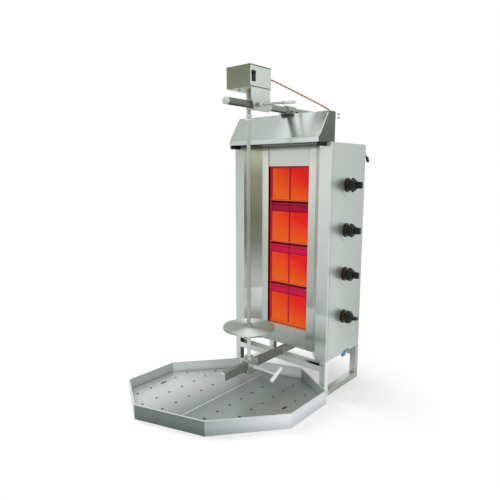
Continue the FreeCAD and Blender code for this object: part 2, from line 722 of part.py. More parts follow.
# Gas parts: manifold, four valves with brass collars, supply tubes with elbows and injectors, inlet tap
inlet_reach = "cabinet_depth + nut_length + inlet_length - tap_depth"
manifold = join("ManifoldShape",
                bar("ManifoldPipe", "tap_side", "tap_depth", "manifold_low", "manifold_radius",
                    burner_rows[3] + " + 2 * manifold_radius - manifold_low"),
                bar("Inlet", "tap_side", "tap_depth", "inlet_high", "inlet_radius", inlet_reach, "y"),
                bar("InletNut", "tap_side", "cabinet_depth", "inlet_high", "nut_radius", "nut_length", "y"))
finished(cut("Manifold", manifold, bar("InletBore", "tap_side", "tap_depth", "inlet_high", "0.6 * inlet_radius",
                                       inlet_reach + " + 1", "y")), "gas_manifold")
valves = []
tubes = []
bezels = []
for row, middle in enumerate(burner_rows):
    name = "Valve%d" % (row + 1)
    shaped = join(
        name + "Shape",
        bar(name + "Body", valve_back, "knob_depth", middle, "valve_radius", "valve_length", "x"),
        bar(name + "Neck", inside, "knob_depth", middle, "neck_radius", "skin + bezel_thick", "x"),
        bar(name + "Collar", inside + " + skin + bezel_thick", "knob_depth", middle, "ring_radius",
            "ring_length", "x"),
        bar(name + "Branch", "tap_side", "knob_depth", middle, "0.6 * manifold_radius",
            "tap_depth - knob_depth", "y"))
    stem_way = bar(name + "StemWay", valve_back + " + stem_floor", "knob_depth", middle,
                   "stem_radius + running_gap", "2 * valve_length", "x")
    manifold_way = bar(name + "ManifoldWay", "tap_side", "tap_depth", middle + " - 2 * manifold_radius",
                       "manifold_radius", "4 * manifold_radius")
    valves.append(cut(name, shaped, stem_way, manifold_way))
    elbows = []
    elbow = "(1.3 * supply_radius)"
    for end, depth in (("Near", "knob_depth"), ("Far", deep)):
        elbows.append(block(name + end, supply_bend + " - " + elbow, depth + " - " + elbow,
                            middle + " - " + elbow, "2 * " + elbow, "2 * " + elbow, "2 * " + elbow))
    tubes.append(join(
        name + "Supply",
        bar(name + "Feed", supply_bend, "knob_depth", middle, "supply_radius", "3 * supply_radius", "x"),
        bar(name + "Cross", supply_bend, deep, middle, "supply_radius", "knob_depth - (%s)" % deep, "y"),
        bar(name + "Nozzle", nozzle_end, deep, middle, "1.6 * supply_radius",
            "nozzle_length", "x"),
        cone(name + "Jet", nozzle_end + " - 8", deep, middle, "0.5 * supply_radius", "1.6 * supply_radius",
             "8", "x"), *elbows))
    name = "Bezel%d" % (row + 1)
    disc = bar(name + "Disc", inside + " + skin", "knob_depth", middle, "bezel_radius", "bezel_thick / 2", "x")
    slope = cone(name + "Slope", inside + " + skin + bezel_thick / 2", "knob_depth", middle, "bezel_radius",
                 "bezel_radius - bezel_thick / 2", "bezel_thick / 2", "x")
    way = bar(name + "Way", inside, "knob_depth", middle, "neck_radius + running_gap", "5 * bezel_thick", "x")
    bezels.append(cut(name, join(name + "Shape", disc, slope), way))
finished(group("Valves", *valves), "gas_valves")
finished(group("Supply", *tubes), "supply_tubes")
finished(group("Bezels", *bezels), "knob_bezels")


# Hood: one folded sheet with two end plates, a baffle on its inner edges and two blocks below its ends
top = "cabinet_high"
hood = new_body("Hood")
profile = sketch_on(hood, "HoodProfile", "YZ_Plane")
foot = "%s + 2 * skin" % top
folded(profile, [("-(hood_reach - hood_edge)", top), ("-hood_reach", top), ("-hood_reach", top + " + lip_height"),
                 ("crest", "hood_high"), ("hood_back", "hood_high"), ("hood_back", foot),
                 ("hood_back + hood_edge", foot)], "skin", -1)
pad(hood, profile, "2 * hood_side", middle=True)
for end, offset in (("Right", "hood_side - skin"), ("Left", "-hood_side")):
    plate = sketch_on(hood, "Hood" + end, "YZ_Plane", offset)
    polygon(plate, [("-hood_reach", top), ("-hood_reach", top + " + lip_height"), ("crest", "hood_high"),
                    ("hood_back", "hood_high"), ("hood_back", top)])
    pad(hood, plate, "skin")


def along_side(spots):
    """Picks edges that run along X through any of the given places in the YZ plane."""
    def wanted(edge):
        ends = [vertex.Point for vertex in edge.Vertexes]
        if len(ends) != 2 or abs(ends[0].x - ends[1].x) < 10:
            return False
        return any(abs(ends[0].y - value(y)) < 0.01 and abs(ends[0].z - value(z)) < 0.01 for y, z in spots)
    return wanted


round_edges(hood, "HoodBends", "bend_radius", along_side(
    [("-hood_reach", top + " + lip_height"), ("crest", "hood_high"), ("hood_back", "hood_high")]))
put(hood)
finished(hood, "hood_shell")
within = "(hood_side - skin - running_gap)"
baffle = block("Baffle", "-" + within, "-(hood_reach - skin - running_gap)", top + " + skin", "2 * " + within,
               "hood_reach + hood_back - 2 * skin - 2 * running_gap", "skin")
finished(baffle, "hood_baffle")
blocks = []
for side, start in (("Left", "-hood_side"), ("Right", "hood_side - end_block_width")):
    blocks.append(block(side + "EndBlock", start, "-(hood_reach - end_block_width / 2)", top + " - end_block_height",
                        "end_block_width", "hood_reach - end_block_width / 2", "end_block_height"))
finished(group("EndBlocks", *blocks), "hood_end_blocks")


# Upper arm: a round tube in two saddles, one on the hood and one on a post behind
arm_run = "arm_reach + arm_back"
arm = cut("UpperArm", bar("ArmOuter", "arm_side", "-arm_reach", "arm_high", "arm_radius", arm_run, "y"),
          bar("ArmBore", "arm_side", "-arm_reach", "arm_high", "arm_radius - arm_wall", arm_run, "y"))
finished(arm, "upper_arm")
ring_bore = "(arm_radius + running_gap)"
ring_outer = "(arm_radius + running_gap + saddle_wall)"


def saddle(name, start, length, base, *more):
    arch = bar(name + "Arch", "arm_side", start, "arm_high", ring_outer, length, "y")
    web = block(name + "Web", "arm_side - " + ring_outer, start, base, "2 * " + ring_outer, length,
                "arm_high - (%s)" % base)
    bore = bar(name + "Bore", "arm_side", start + " - 1", "arm_high", ring_bore, length + " + 2", "y")
    below = block(name + "Below", "arm_side - 2 * " + ring_outer, start + " - 1", base + " - 10",
                  "4 * " + ring_outer, length + " + 2", "10")
    return cut(name, join(name + "Shape", cut(name + "Trimmed", arch, below), web, *more), bore)


reach = "(%s + saddle_foot)" % ring_outer
front_feet = block("FrontFeet", "arm_side - " + reach, "-saddle_front", "hood_high", "2 * " + reach,
                   "saddle_length", "bracket_thick")
finished(saddle("FrontSaddle", "-saddle_front", "saddle_length", "hood_high", front_feet), "arm_saddle")
post_start = "(arm_back - post_setback - tube / 2)"
deck = "(cabinet_high + skin)"
post_top = "(arm_high - arm_radius - saddle_wall - running_gap)"
post = square_tube("Post", "arm_side - tube / 2", post_start, deck, "z", post_top + " - " + deck)
post_foot = block("PostFoot", "arm_side - tube", post_start + " - tube / 2", deck, "2 * tube", "2 * tube",
                  "bracket_thick")
finished(saddle("ArmPost", post_start, "tube", post_top, post, post_foot), "arm_post")
lower_arm = square_tube("LowerArm", "-lower_arm_width / 2", "-arm_reach", "lower_arm_low", "y", arm_run,
                        "lower_arm_width", "lower_arm_height", "arm_wall")
finished(lower_arm, "lower_arm")
plug = new_body("UpperPlug")
head = sketch_on(plug, "PlugHead", "XZ_Plane")
circle(head, "0", "0", "arm_radius")
pad(plug, head, "plug_length")
tail = sketch_on(plug, "PlugTail", "XZ_Plane")
circle(tail, "0", "0", "arm_radius - arm_wall - running_gap")
pad(plug, tail, "plug_length", back=True)


def at_depth(depth):
    def wanted(edge):
        box = edge.BoundBox
        return abs(box.YMin - value(depth)) < 0.01 and abs(box.YMax - value(depth)) < 0.01
    return wanted


round_edges(plug, "PlugRound", "arm_radius * 0.7", at_depth("-plug_length"))
put(plug, "arm_side", "-arm_reach", "arm_high")
cap = new_body("LowerPlug")
head = sketch_on(cap, "CapHead", "XZ_Plane")
across = "lower_arm_width / 2"
up = "lower_arm_height / 2"
rectangle(head, "-" + across, "-" + up, across, up)
pad(cap, head, "plug_length / 3")
tail = sketch_on(cap, "CapTail", "XZ_Plane")
inner = " - arm_wall - running_gap)"
rectangle(tail, "-(" + across + inner, "-(" + up + inner, "(" + across + inner, "(" + up + inner)
pad(cap, tail, "plug_length", back=True)
round_edges(cap, "CapRound", "plug_length / 6", at_depth("-plug_length / 3"))
put(cap, "0", "-arm_reach", "lower_arm_low + lower_arm_height / 2")
finished(group("Plugs", plug, cap), "arm_plugs")


# Upper carriage: a sleeve on the arm, a bracket beside it and the motor box on top
bracket_side = "(arm_side + sleeve_radius + bracket_gap)"
sleeve = join("SleeveShape", bar("SleeveOuter", "arm_side", "-sleeve_front", "arm_high", "sleeve_radius",
                                 "sleeve_length", "y"),
              block("SleevePad", "arm_side", "-sleeve_front", "arm_high - sleeve_radius / 2",
                    "sleeve_radius + bracket_gap", "sleeve_length", "sleeve_radius"))
screw_way = bar("SleeveScrewWay", "arm_side", "-lever_reach", "lever_high", "screw_radius + running_gap",
                "2 * sleeve_radius", "x")
finished(cut("Sleeve", sleeve, bar("SleeveBore", "arm_side", "-sleeve_front - 1", "arm_high", ring_bore,
                                   "sleeve_length + 2", "y"), screw_way), "arm_sleeve")
bush_start = "(-sleeve_front + sleeve_length)"
bush = cut("SleeveBush", bar("BushOuter", "arm_side", bush_start, "arm_high", "sleeve_radius - 2", "bush_length", "y"),
           bar("BushBore", "arm_side", bush_start + " - 1", "arm_high", ring_bore, "bush_length + 2", "y"))
finished(bush, "sleeve_bush")

bracket = new_body("Bracket")
side = sketch_on(bracket, "BracketSide", "YZ_Plane", bracket_side)
box_back = "(-box_front + box_length)"
bracket_front = "(-box_front + bracket_inset)"
polygon(side, [(bracket_front, "box_low"), (bracket_front, "box_low - 1.5 * bracket_setback"),
               (bracket_front + " + bracket_setback", "bracket_low"), (box_back, "bracket_low"),
               (box_back, "box_low")])
pad(bracket, side, "bracket_thick")
shelf = sketch_on(bracket, "BracketShelf", "XY_Plane", "box_low - bracket_thick")
rectangle(shelf, "-%s" % bracket_side, bracket_front, bracket_side, box_back)
pad(bracket, shelf, "bracket_thick")
shaft_way = sketch_on(bracket, "BracketShaftWay", "XY_Plane", "box_low")
circle(shaft_way, "0", "-spit_reach", "drive_radius + running_gap")
pocket(bracket, shaft_way, "2 * bracket_thick", middle=True)
lever_way = sketch_on(bracket, "BracketLeverWay", "YZ_Plane", bracket_side)
circle(lever_way, "-lever_reach", "lever_high", "screw_radius + running_gap")
pocket(bracket, lever_way, "3 * bracket_thick", middle=True)


def across_bracket(edge):
    ends = [vertex.Point for vertex in edge.Vertexes]
    return len(ends) == 2 and ends[0].z < value("box_low") - 10 and abs(ends[0].x - ends[1].x) > 1


round_edges(bracket, "BracketCorners", "3 * bracket_thick", across_bracket)
put(bracket)
finished(bracket, "motor_bracket")

box = new_body("MotorBox")
ring = sketch_on(box, "BoxRing", "YZ_Plane")
outline = rectangle(ring, "-box_front", "box_low", box_back, "box_low + box_height")
parallel_outline(ring, outline, 4, "skin", 1)
pad(box, ring, "2 * box_half_width", middle=True)
shaft_way = sketch_on(box, "BoxShaftWay", "XY_Plane", "box_low")
circle(shaft_way, "0", "-spit_reach", "drive_radius + running_gap")
pocket(box, shaft_way, "4 * skin", middle=True)
put(box)
finished(box, "motor_box")
switch_middle = "(-switch_front + switch_width / 2)"
switch_high = "(switch_low + switch_height / 2)"
covers = []
for side, start in (("Left", "-box_half_width"), ("Right", "box_half_width - skin")):
    plate = block(side + "Cover", start, "-box_front + skin + running_gap", "box_low + skin + cover_inset", "skin",
                  "box_length - 2 * skin - 2 * running_gap", "box_height - 2 * skin - 2 * cover_inset")
    if side == "Right":
        plate = cut("RightCoverCut", plate, block(
            "SwitchWay", start + " - 1", switch_middle + " - switch_width / 2 + 1 - running_gap",
            "switch_low + 1 - running_gap", "5", "switch_width - 2 + 2 * running_gap",
            "switch_height - 2 + 2 * running_gap"))
    covers.append(plate)
finished(group("Covers", *covers), "motor_box_covers")
inner_low = "(box_low + skin)"
gearbox = block("Gearbox", "-1.25 * motor_radius", "-spit_reach - 1.25 * motor_radius", inner_low,
                "2.5 * motor_radius", "2.5 * motor_radius", "0.4 * box_height")
windings = bar("Windings", "0", "-spit_reach", inner_low, "motor_radius", "box_height - 4 * skin")
socket = bar("MotorSocket", "0", "-spit_reach", "box_low - 1", "drive_radius + running_gap", "shaft_entry + 1.5")
finished(cut("GearMotor", join("MotorShape", gearbox, windings), socket), "gear_motor")
frame = join("SwitchShape", block("SwitchRim", "box_half_width", switch_middle + " - switch_width / 2", "switch_low",
                                  "switch_proud", "switch_width", "switch_height"),
             block("SwitchHousing", "box_half_width - switch_depth", switch_middle + " - switch_width / 2 + 1",
                   "switch_low + 1", "switch_depth", "switch_width - 2", "switch_height - 2"))
finished(cut("SwitchFrame", frame, block("RockerWay", "box_half_width - switch_depth + 2",
                                         switch_middle + " - switch_width / 2 + 2", "switch_low + 2",
                                         "switch_depth + 20", "switch_width - 4", "switch_height - 4")),
         "switch_frame")
rocker = new_body("Rocker")
profile = sketch_on(rocker, "RockerProfile", "XZ_Plane")
rise = "(switch_height / 2 - 3)"
proud = "(switch_proud + 2.5)"
dish = proud + " - %s * tan(rocker_tilt)" % rise
polygon(profile, [("-switch_depth / 2", "-%s" % rise), (proud, "-%s" % rise), (dish, "0"), (proud, rise),
                  ("-switch_depth / 2", rise)])
pad(rocker, profile, "switch_width - 5", middle=True)
rocker.Placement = FreeCAD.Placement(FreeCAD.Vector(), FreeCAD.Rotation(FreeCAD.Vector(0, 1, 0), value("rocker_tilt")))
put(rocker, "box_half_width", switch_middle, switch_high)
finished(rocker, "power_rocker")


def tilted(slope):
    return FreeCAD.Rotation(FreeCAD.Vector(1, 0, 0), value(slope) - 90)


lever_side = "(%s + bracket_thick + running_gap)" % bracket_side
lever_line = lever_side + " + 1.35 * grip_radius"
grip_start = "(lever_length - grip_length)"
grip_depth = "-lever_reach + %s * cos(lever_slope)" % grip_start
grip_high = "lever_high + %s * sin(lever_slope)" % grip_start
lever = join(
    "ClampLever",
    bar("LeverScrew", "arm_side + arm_radius + running_gap", "-lever_reach", "lever_high", "screw_radius",
        "sleeve_radius", "x"),
    bar("LeverHub", lever_side, "-lever_reach", "lever_high", "1.3 * grip_radius", "2.2 * grip_radius", "x"),
    bar("LeverRod", lever_line, "-lever_reach", "lever_high", "lever_radius", grip_start + " + 2",
        turn=tilted("lever_slope")),
    bar("LeverGrip", lever_line, grip_depth, grip_high, "grip_radius", "grip_length", turn=tilted("lever_slope")))
finished(lever, "clamp_lever")


# Spit: drive shaft, coupling sleeve, rod and meat disc on one upright axis
shaft = join("DriveShaft", bar("ShaftThick", "0", "-spit_reach", "drive_low", "drive_radius",
                               "box_low - drive_low + shaft_entry"),
             bar("ShaftNeck", "0", "-spit_reach", "coupling_high - coupling_length / 2", "shaft_neck",
                 "drive_low - coupling_high + coupling_length / 2"))
finished(shaft, "drive_shaft")
coupling_low = "(coupling_high - coupling_length)"
coupling = new_body("Coupling")
profile = sketch_on(coupling, "CouplingProfile", "XZ_Plane")
neck_bore = "(shaft_neck + running_gap)"
ring_height = "coupling_length / 3"
rim_cut = "(coupling_radius - coupling_waist)"
upper_ring = "coupling_length - " + ring_height
polygon(profile, [(neck_bore, "0"), ("coupling_waist", "0"), ("coupling_radius", rim_cut),
                  ("coupling_radius", ring_height + " - " + rim_cut), ("coupling_waist", ring_height),
                  ("coupling_waist", upper_ring), ("coupling_radius", upper_ring + " + " + rim_cut),
                  ("coupling_radius", "coupling_length - " + rim_cut), ("coupling_waist", "coupling_length"),
                  (neck_bore, "coupling_length")])
revolve(coupling, profile)
put(coupling, "0", "-spit_reach", coupling_low)
finished(coupling, "coupling_sleeve")
rod_top = "(coupling_high - coupling_length / 2 - running_gap)"
rod = join("SpitRod", bar("RodHead", "0", "-spit_reach", coupling_low + " - 6", "shaft_neck",
                          rod_top + " - " + coupling_low + " + 6"),
           bar("Rod", "0", "-spit_reach", "spit_foot", "spit_radius", coupling_low + " - spit_foot"))
finished(rod, "spit_rod")
disc = new_body("MeatDisc")
profile = sketch_on(disc, "DiscProfile", "XZ_Plane")
bore = "(spit_radius + running_gap)"
thin = "disc_thick / 2"
polygon(profile, [(bore, "-hub_height / 2"), ("hub_radius", "-hub_height / 2"), ("hub_radius", "-" + thin),
                  ("disc_radius - disc_thick", "-" + thin), ("disc_radius - disc_thick", "-disc_rim"),
                  ("disc_radius", "-disc_rim"), ("disc_radius", thin), ("hub_radius", thin),
                  ("hub_radius", "hub_height / 2"), (bore, "hub_height / 2")])
revolve(disc, profile)
put(disc, "0", "-spit_reach", "disc_high")
pin_high = "disc_high + hub_height / 4"
pins = []
for side, start in (("Left", "-pin_reach"), ("Right", "hub_radius - 1")):
    pins.append(bar(side + "Pin", start, "-spit_reach", pin_high, "pin_radius", "pin_reach - hub_radius + 1", "x"))
finished(join("DiscWithPins", disc, *pins), "meat_disc")


# Lower carriage: a block round the lower arm with a cup for the spit's foot
gap_wall = "(running_gap + carriage_wall)"
block_half = "(lower_arm_width / 2 + %s)" % gap_wall
base_low = "(lower_arm_low - running_gap - carriage_base)"
arm_top = "(lower_arm_low + lower_arm_height)"
shaped = join("CarriageShape",
              block("CarriageBlock", "-" + block_half, "-carriage_front", base_low, "2 * " + block_half,
                    "carriage_length", arm_top + " + %s - %s" % (gap_wall, base_low)),
              bar("Cup", "0", "-spit_reach", arm_top + " + 1", "cup_radius", "cup_high - %s - 1" % arm_top))
arm_way = block("ArmWay", "-(lower_arm_width / 2 + running_gap)", "-carriage_front - 1",
                "lower_arm_low - running_gap", "lower_arm_width + 2 * running_gap", "carriage_length + 2",
                "lower_arm_height + 2 * running_gap")
relief = block("Relief", "-(lower_arm_width / 2)", "-carriage_front - 1", base_low + " + 5",
               "lower_arm_width", "carriage_length + 2", "carriage_base - 8")
cup_floor = "(%s + running_gap + 3)" % arm_top
cup_way = bar("CupWay", "0", "-spit_reach", cup_floor, "spit_radius + 2 * running_gap + bush_wall", "cup_high")
handle_way = bar("HandleWay", "0", "-handle_reach", "handle_high", "screw_radius + running_gap",
                 block_half + " + carriage_wall", "x")
finished(cut("LowerCarriage", shaped, arm_way, relief, cup_way, handle_way), "lower_carriage")
foot_bush = cut("FootBush", bar("FootOuter", "0", "-spit_reach", cup_floor,
                                "spit_radius + running_gap + bush_wall", "cup_high + 1 - %s" % cup_floor),
                bar("FootBore", "0", "-spit_reach", "spit_foot - running_gap", bore, "cup_high"))
finished(foot_bush, "foot_bush")
bar_half = "handle_length / 2"
handle = join(
    "THandle",
    bar("HandleScrew", "lower_arm_width / 2 + running_gap", "-handle_reach", "handle_high", "screw_radius",
        "handle_side - lower_arm_width / 2 - running_gap", "x"),
    bar("HandleBar", "handle_side", "-handle_reach - %s * cos(handle_slope)" % bar_half,
        "handle_high - %s * sin(handle_slope)" % bar_half, "grip_radius", "handle_length",
        turn=tilted("handle_slope")))
finished(handle, "t_handle")


# Knobs: a stem that is pushed into its valve, and a knob that turns on it
for row, middle in enumerate(burner_rows):
    name = "Knob%d" % (row + 1)
    stem_start = "(stem_floor + knob_travel + 1)"
    stem = bar(name + "Stem", valve_back + " + " + stem_start, "knob_depth", middle, "stem_radius",
               "valve_length - %s + skin + bezel_thick + ring_length + stem_hold" % stem_start, "x")
    finished(stem, "knob_stem_%d" % (row + 1))
    knob = new_body(name)
    outline = sketch_on(knob, name + "Outline", "XY_Plane")
    skirt_back = "(neck_length + (knob_radius - knob_neck) / 4)"
    skirt_front = "(%s + skirt_thick)" % skirt_back
    polygon(outline, [("0", "0"), ("0", "knob_neck"), ("neck_length", "knob_neck"), (skirt_back, "knob_radius"),
                      (skirt_front, "knob_radius"), (skirt_front + " + cone_length", "knob_shoulder"),
                      (skirt_front + " + cone_length", "0")])
    revolve(knob, outline, "H_Axis")
    hollow = sketch_on(knob, name + "Flute", "YZ_Plane", "neck_length")
    circle(hollow, "knob_radius - flute_depth + flute_radius", "0", "flute_radius")
    flute = pocket(knob, hollow, "cone_length + skirt_thick", back=True)
    flutes = knob.newObject("PartDesign::PolarPattern", name + "Flutes")
    flutes.Originals = [flute]
    flutes.Axis = (plane_of(knob, "X_Axis"), [""])
    flutes.Angle = 360
    bind(flutes, Occurrences="knob_flutes")
    knob.Tip = flutes
    grip = sketch_on(knob, name + "Grip", "YZ_Plane", skirt_front + " + cone_length")
    slot(grip, "0", "0", "grip_height", "grip_width / 2", row > 0)
    feature = pad(knob, grip, "knob_grip")
    feature.TaperAngle = -2
    recess = sketch_on(knob, name + "Recess", "YZ_Plane")
    circle(recess, "0", "0", "ring_radius + fitting_gap")
    pocket(knob, recess, "knob_travel + 2", back=True)
    stem_way = sketch_on(knob, name + "StemWay", "YZ_Plane")
    circle(stem_way, "0", "0", "stem_radius + running_gap")
    pocket(knob, stem_way, "stem_hold + running_gap", back=True)
    put(knob, inside + " + skin + bezel_thick + ring_length + fitting_gap", "knob_depth", middle)
    finished(knob, "knob_%d" % (row + 1))


# Gas tap below the manifold: a body with a lever hanging at its side
tap = join("TapShape",
           bar("TapRiser", "tap_side", "tap_depth", "tap_high - 2 * tap_radius", "tap_radius",
               "manifold_low - tap_high + 2 * tap_radius"),
           bar("TapBody", "tap_side - 1.3 * tap_radius", "tap_depth", "tap_high", "1.3 * tap_radius",
               "2.6 * tap_radius", "x"))
finished(tap, "gas_tap")
tap_face = "(tap_side + 1.3 * tap_radius + running_gap)"
blade = new_body("TapLever")
outline = sketch_on(blade, "BladeOutline", "YZ_Plane")
half_blade = "tap_lever_width / 2"
polygon(outline, [("-tap_radius", "tap_radius"), ("-tap_radius", "-tap_radius / 2"),
                  ("-(%s)" % half_blade, "-tap_lever_length + tap_radius / 2"), ("-(%s)" % half_blade, "-tap_lever_length"),
                  (half_blade, "-tap_lever_length"), (half_blade, "-tap_lever_length + tap_radius / 2"),
                  ("tap_radius", "-tap_radius / 2"), ("tap_radius", "tap_radius")])
pad(blade, outline, "0.6 * tap_radius")
round_edges(blade, "BladeCorners", "tap_radius / 5", lambda edge: edge.BoundBox.XLength > 1)
put(blade, tap_face, "tap_depth", "tap_high")
finished(blade, "gas_tap_lever")


# Drip tray: a skewed octagon with a folded rim, and two perforated plates that lift out of it
def skewed(across, depth):
    return across, "%s + tray_skew * (%s)" % (depth, across)


front = "tray_front_half"
wide = "tray_half_width"
deep = "tray_half_depth"
flank = "tray_side_half"
octagon = [skewed("-" + front, "-" + deep), skewed(front, "-" + deep), skewed(wide, "-" + flank),
           skewed(wide, flank), skewed(front, deep), skewed("-" + front, deep), skewed("-" + wide, flank),
           skewed("-" + wide, "-" + flank)]
tray = new_body("DripTray")
floor = sketch_on(tray, "TrayFloor", "XY_Plane")
polygon(floor, octagon)
pad(tray, floor, "tray_skin")
walls = sketch_on(tray, "TrayWalls", "XY_Plane")
parallel_outline(walls, polygon(walls, octagon), 8, "tray_skin", 1)
pad(tray, walls, "tray_height")
hem = sketch_on(tray, "TrayHem", "XY_Plane", "tray_height - hem_height")
parallel_outline(hem, polygon(hem, octagon), 8, "tray_hem", 1)
pad(tray, hem, "hem_height")


def rim_edges(edge):
    box = edge.BoundBox
    return box.ZMin > value("tray_height") - 0.01


round_edges(tray, "TrayRim", "tray_hem / 4", rim_edges)
put(tray, "tray_side", "-tray_reach")
finished(tray, "drip_tray")


def drip_plate(name, label, side):
    """Half of the tray's plate: a pan turned over, with rows of holes and a finger slot."""
    body = new_body(name)
    inset = "(tray_hem + fitting_gap)"
    part_line = "(plate_parting - (%s) * (%s - fitting_gap / 2))" % (side, inset)
    sign = "" if side == "1" else "-"
    points = [skewed(part_line, "-" + deep), skewed(sign + front, "-" + deep), skewed(sign + wide, "-" + flank),
              skewed(sign + wide, flank), skewed(sign + front, deep), skewed(part_line, deep)]
    for feature, offset, more in (("Pan", "tray_skin", ""), ("Hollow", "tray_skin", " + skin")):
        sketch = sketch_on(body, name + feature, "XY_Plane", offset)
        first = polygon(sketch, points)
        parallel_outline(sketch, first, 6, inset + more, int(side))
        for line in range(first, first + 6):
            sketch.toggleConstruction(line)
        if feature == "Pan":
            pad(body, sketch, "plate_high - tray_skin")
        else:
            pocket(body, sketch, "plate_high - tray_skin - skin", back=True)
    holes = sketch_on(body, name + "Holes", "XY_Plane", "plate_high")
    for row in (1, 2, 3):
        across = "(hole_middle + (%s) * %d * hole_row)" % (side, row)
        away = abs(value(across))
        slope = (value(deep) - value(flank)) / (value(wide) - value(front))
        limit = min(value(deep), value(flank) + (value(wide) - away) * slope)
        reach = int((limit - value("hole_margin")) / value("hole_pitch"))
        for step in range(-reach, reach + 1):
            spot = skewed(across, "(%d) * hole_pitch" % step)
            if row == 3 and step == 0:
                slot(holes, spot[0], spot[1], "finger_slot", "drip_hole", True)
            else:
                circle(holes, spot[0], spot[1], "drip_hole")
    pocket(body, holes, "4 * skin", middle=True)
    put(body, "tray_side", "-tray_reach")
    return finished(body, label)


drip_plate("LeftPlate", "left_drip_plate", "-1")
drip_plate("RightPlate", "right_drip_plate", "1")


# Motor cable: pulled straight from the box to the hood's back edge, then down to its gland
def tangent_path(spots):
    """Straight runs joined by arcs, each as large as its two runs allow."""
    edges = []
    start = spots[0]
    radii = []
    for before, corner, after in zip(spots, spots[1:], spots[2:]):
        come = corner - before
        leave = after - corner
        half_turn = come.getAngle(leave) / 2
        tangent = 0.45 * min(come.Length, leave.Length)
        radii.append(tangent / math.tan(half_turn))
        come.normalize()
        leave.normalize()
        first = corner - come * tangent
        last = corner + leave * tangent
        bulge = (leave - come).normalize()
        middle = corner + bulge * (radii[-1] / math.cos(half_turn) - radii[-1])
        edges.append(Part.LineSegment(start, first).toShape())
        edges.append(Part.Arc(first, middle, last).toShape())
        start = last
    edges.append(Part.LineSegment(start, spots[-1]).toShape())
    return Part.Wire(edges), radii


exit_depth = value("-box_front + box_length")
gland_top = value("cabinet_high + skin + gland_height")
gland_side = value("gland_side")
gland_depth = value("gland_depth")
side = value("cable_side")
high = value("cable_high")
route = [
    FreeCAD.Vector(side, exit_depth, high),
    FreeCAD.Vector(side, exit_depth + 16, high),
    FreeCAD.Vector(side + 5.6, exit_depth + 30.5, high - 3.9),
    FreeCAD.Vector(gland_side - 10, gland_depth - 37, gland_top + 109),
    FreeCAD.Vector(gland_side - 3.5, gland_depth - 16, gland_top + 96),
    FreeCAD.Vector(gland_side - 1, gland_depth - 4, gland_top + 76),
    FreeCAD.Vector(gland_side, gland_depth, gland_top + 48),
    FreeCAD.Vector(gland_side, gland_depth, gland_top),
]
path, radii = tangent_path(route)
section = Part.Wire([Part.Circle(route[0], FreeCAD.Vector(0, 1, 0), value("cable_radius")).toShape()])
cable = doc.addObject("Part::Feature", "MotorCable")
cable.Shape = path.makePipeShell([section], True, False)
cable.Placement = FreeCAD.Placement(FreeCAD.Vector(-value("middle_side"), -value("middle_depth"), 0),
                                    FreeCAD.Rotation())
finished(cable, "motor_cable")
expected = math.pi * value("cable_radius") ** 2 * path.Length
print("cable radii", [round(radius, 1) for radius in radii])
print("cable length", round(path.Length, 1), "volume", round(cable.Shape.Volume), "expected", round(expected))

nut = doc.addObject("Part::Prism", "GlandNut")
nut.Polygon = 6
bind(nut, Circumradius="gland_radius", Height="gland_height / 3")
put(nut, "gland_side", "gland_depth", "cabinet_high + skin")
dome = cone("GlandDome", "gland_side", "gland_depth", "cabinet_high + skin + gland_height / 3",
            "gland_radius * 0.85", "gland_radius * 0.6", "gland_height * 2 / 3")
relief_nut = bar("ReliefNut", "relief_side", "cabinet_depth", "relief_high", "gland_radius", "gland_height / 3", "y")
stem_way = FreeCAD.Vector(6.5, 16, -10)
sleeve_way = FreeCAD.Vector(0.12, 0.25, -0.96)
relief_stem = bar("ReliefStem", "relief_side", "cabinet_depth + gland_height / 6", "relief_high",
                  "cable_radius", "relief_length", turn=FreeCAD.Rotation(FreeCAD.Vector(0, 0, 1), stem_way))
relief_sleeve = bar("ReliefSleeve", "relief_side + %s" % stem_way.x,
                    "cabinet_depth + gland_height / 6 + %s" % stem_way.y, "relief_high + (%s)" % stem_way.z,
                    "2 * cable_radius", "relief_length",
                    turn=FreeCAD.Rotation(FreeCAD.Vector(0, 0, 1), sleeve_way))
finished(group("Glands", join("MotorGland", nut, dome), join("RearGland", relief_nut, relief_stem, relief_sleeve)),
         "cable_glands")

doc.recompute()
for item in doc.Objects:
    if "Invalid" in item.State or "Error" in item.State:
        raise RuntimeError("%s failed: %s" % (item.Name, item.State))
for item in sub_parts:
    if item.Shape.isNull() or not item.Shape.isValid() or not item.Shape.Solids:
        raise RuntimeError("%s has no valid solid" % item.Label)
whole = FreeCAD.BoundBox()
os.makedirs("parts", exist_ok=True)
for item in sub_parts:
    whole.add(item.Shape.BoundBox)
    item.Shape.exportStep("parts/%s.step" % item.Label)
print(len(sub_parts), "sub-parts;", whole)
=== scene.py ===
import math
from functools import partialmethod
from itertools import product

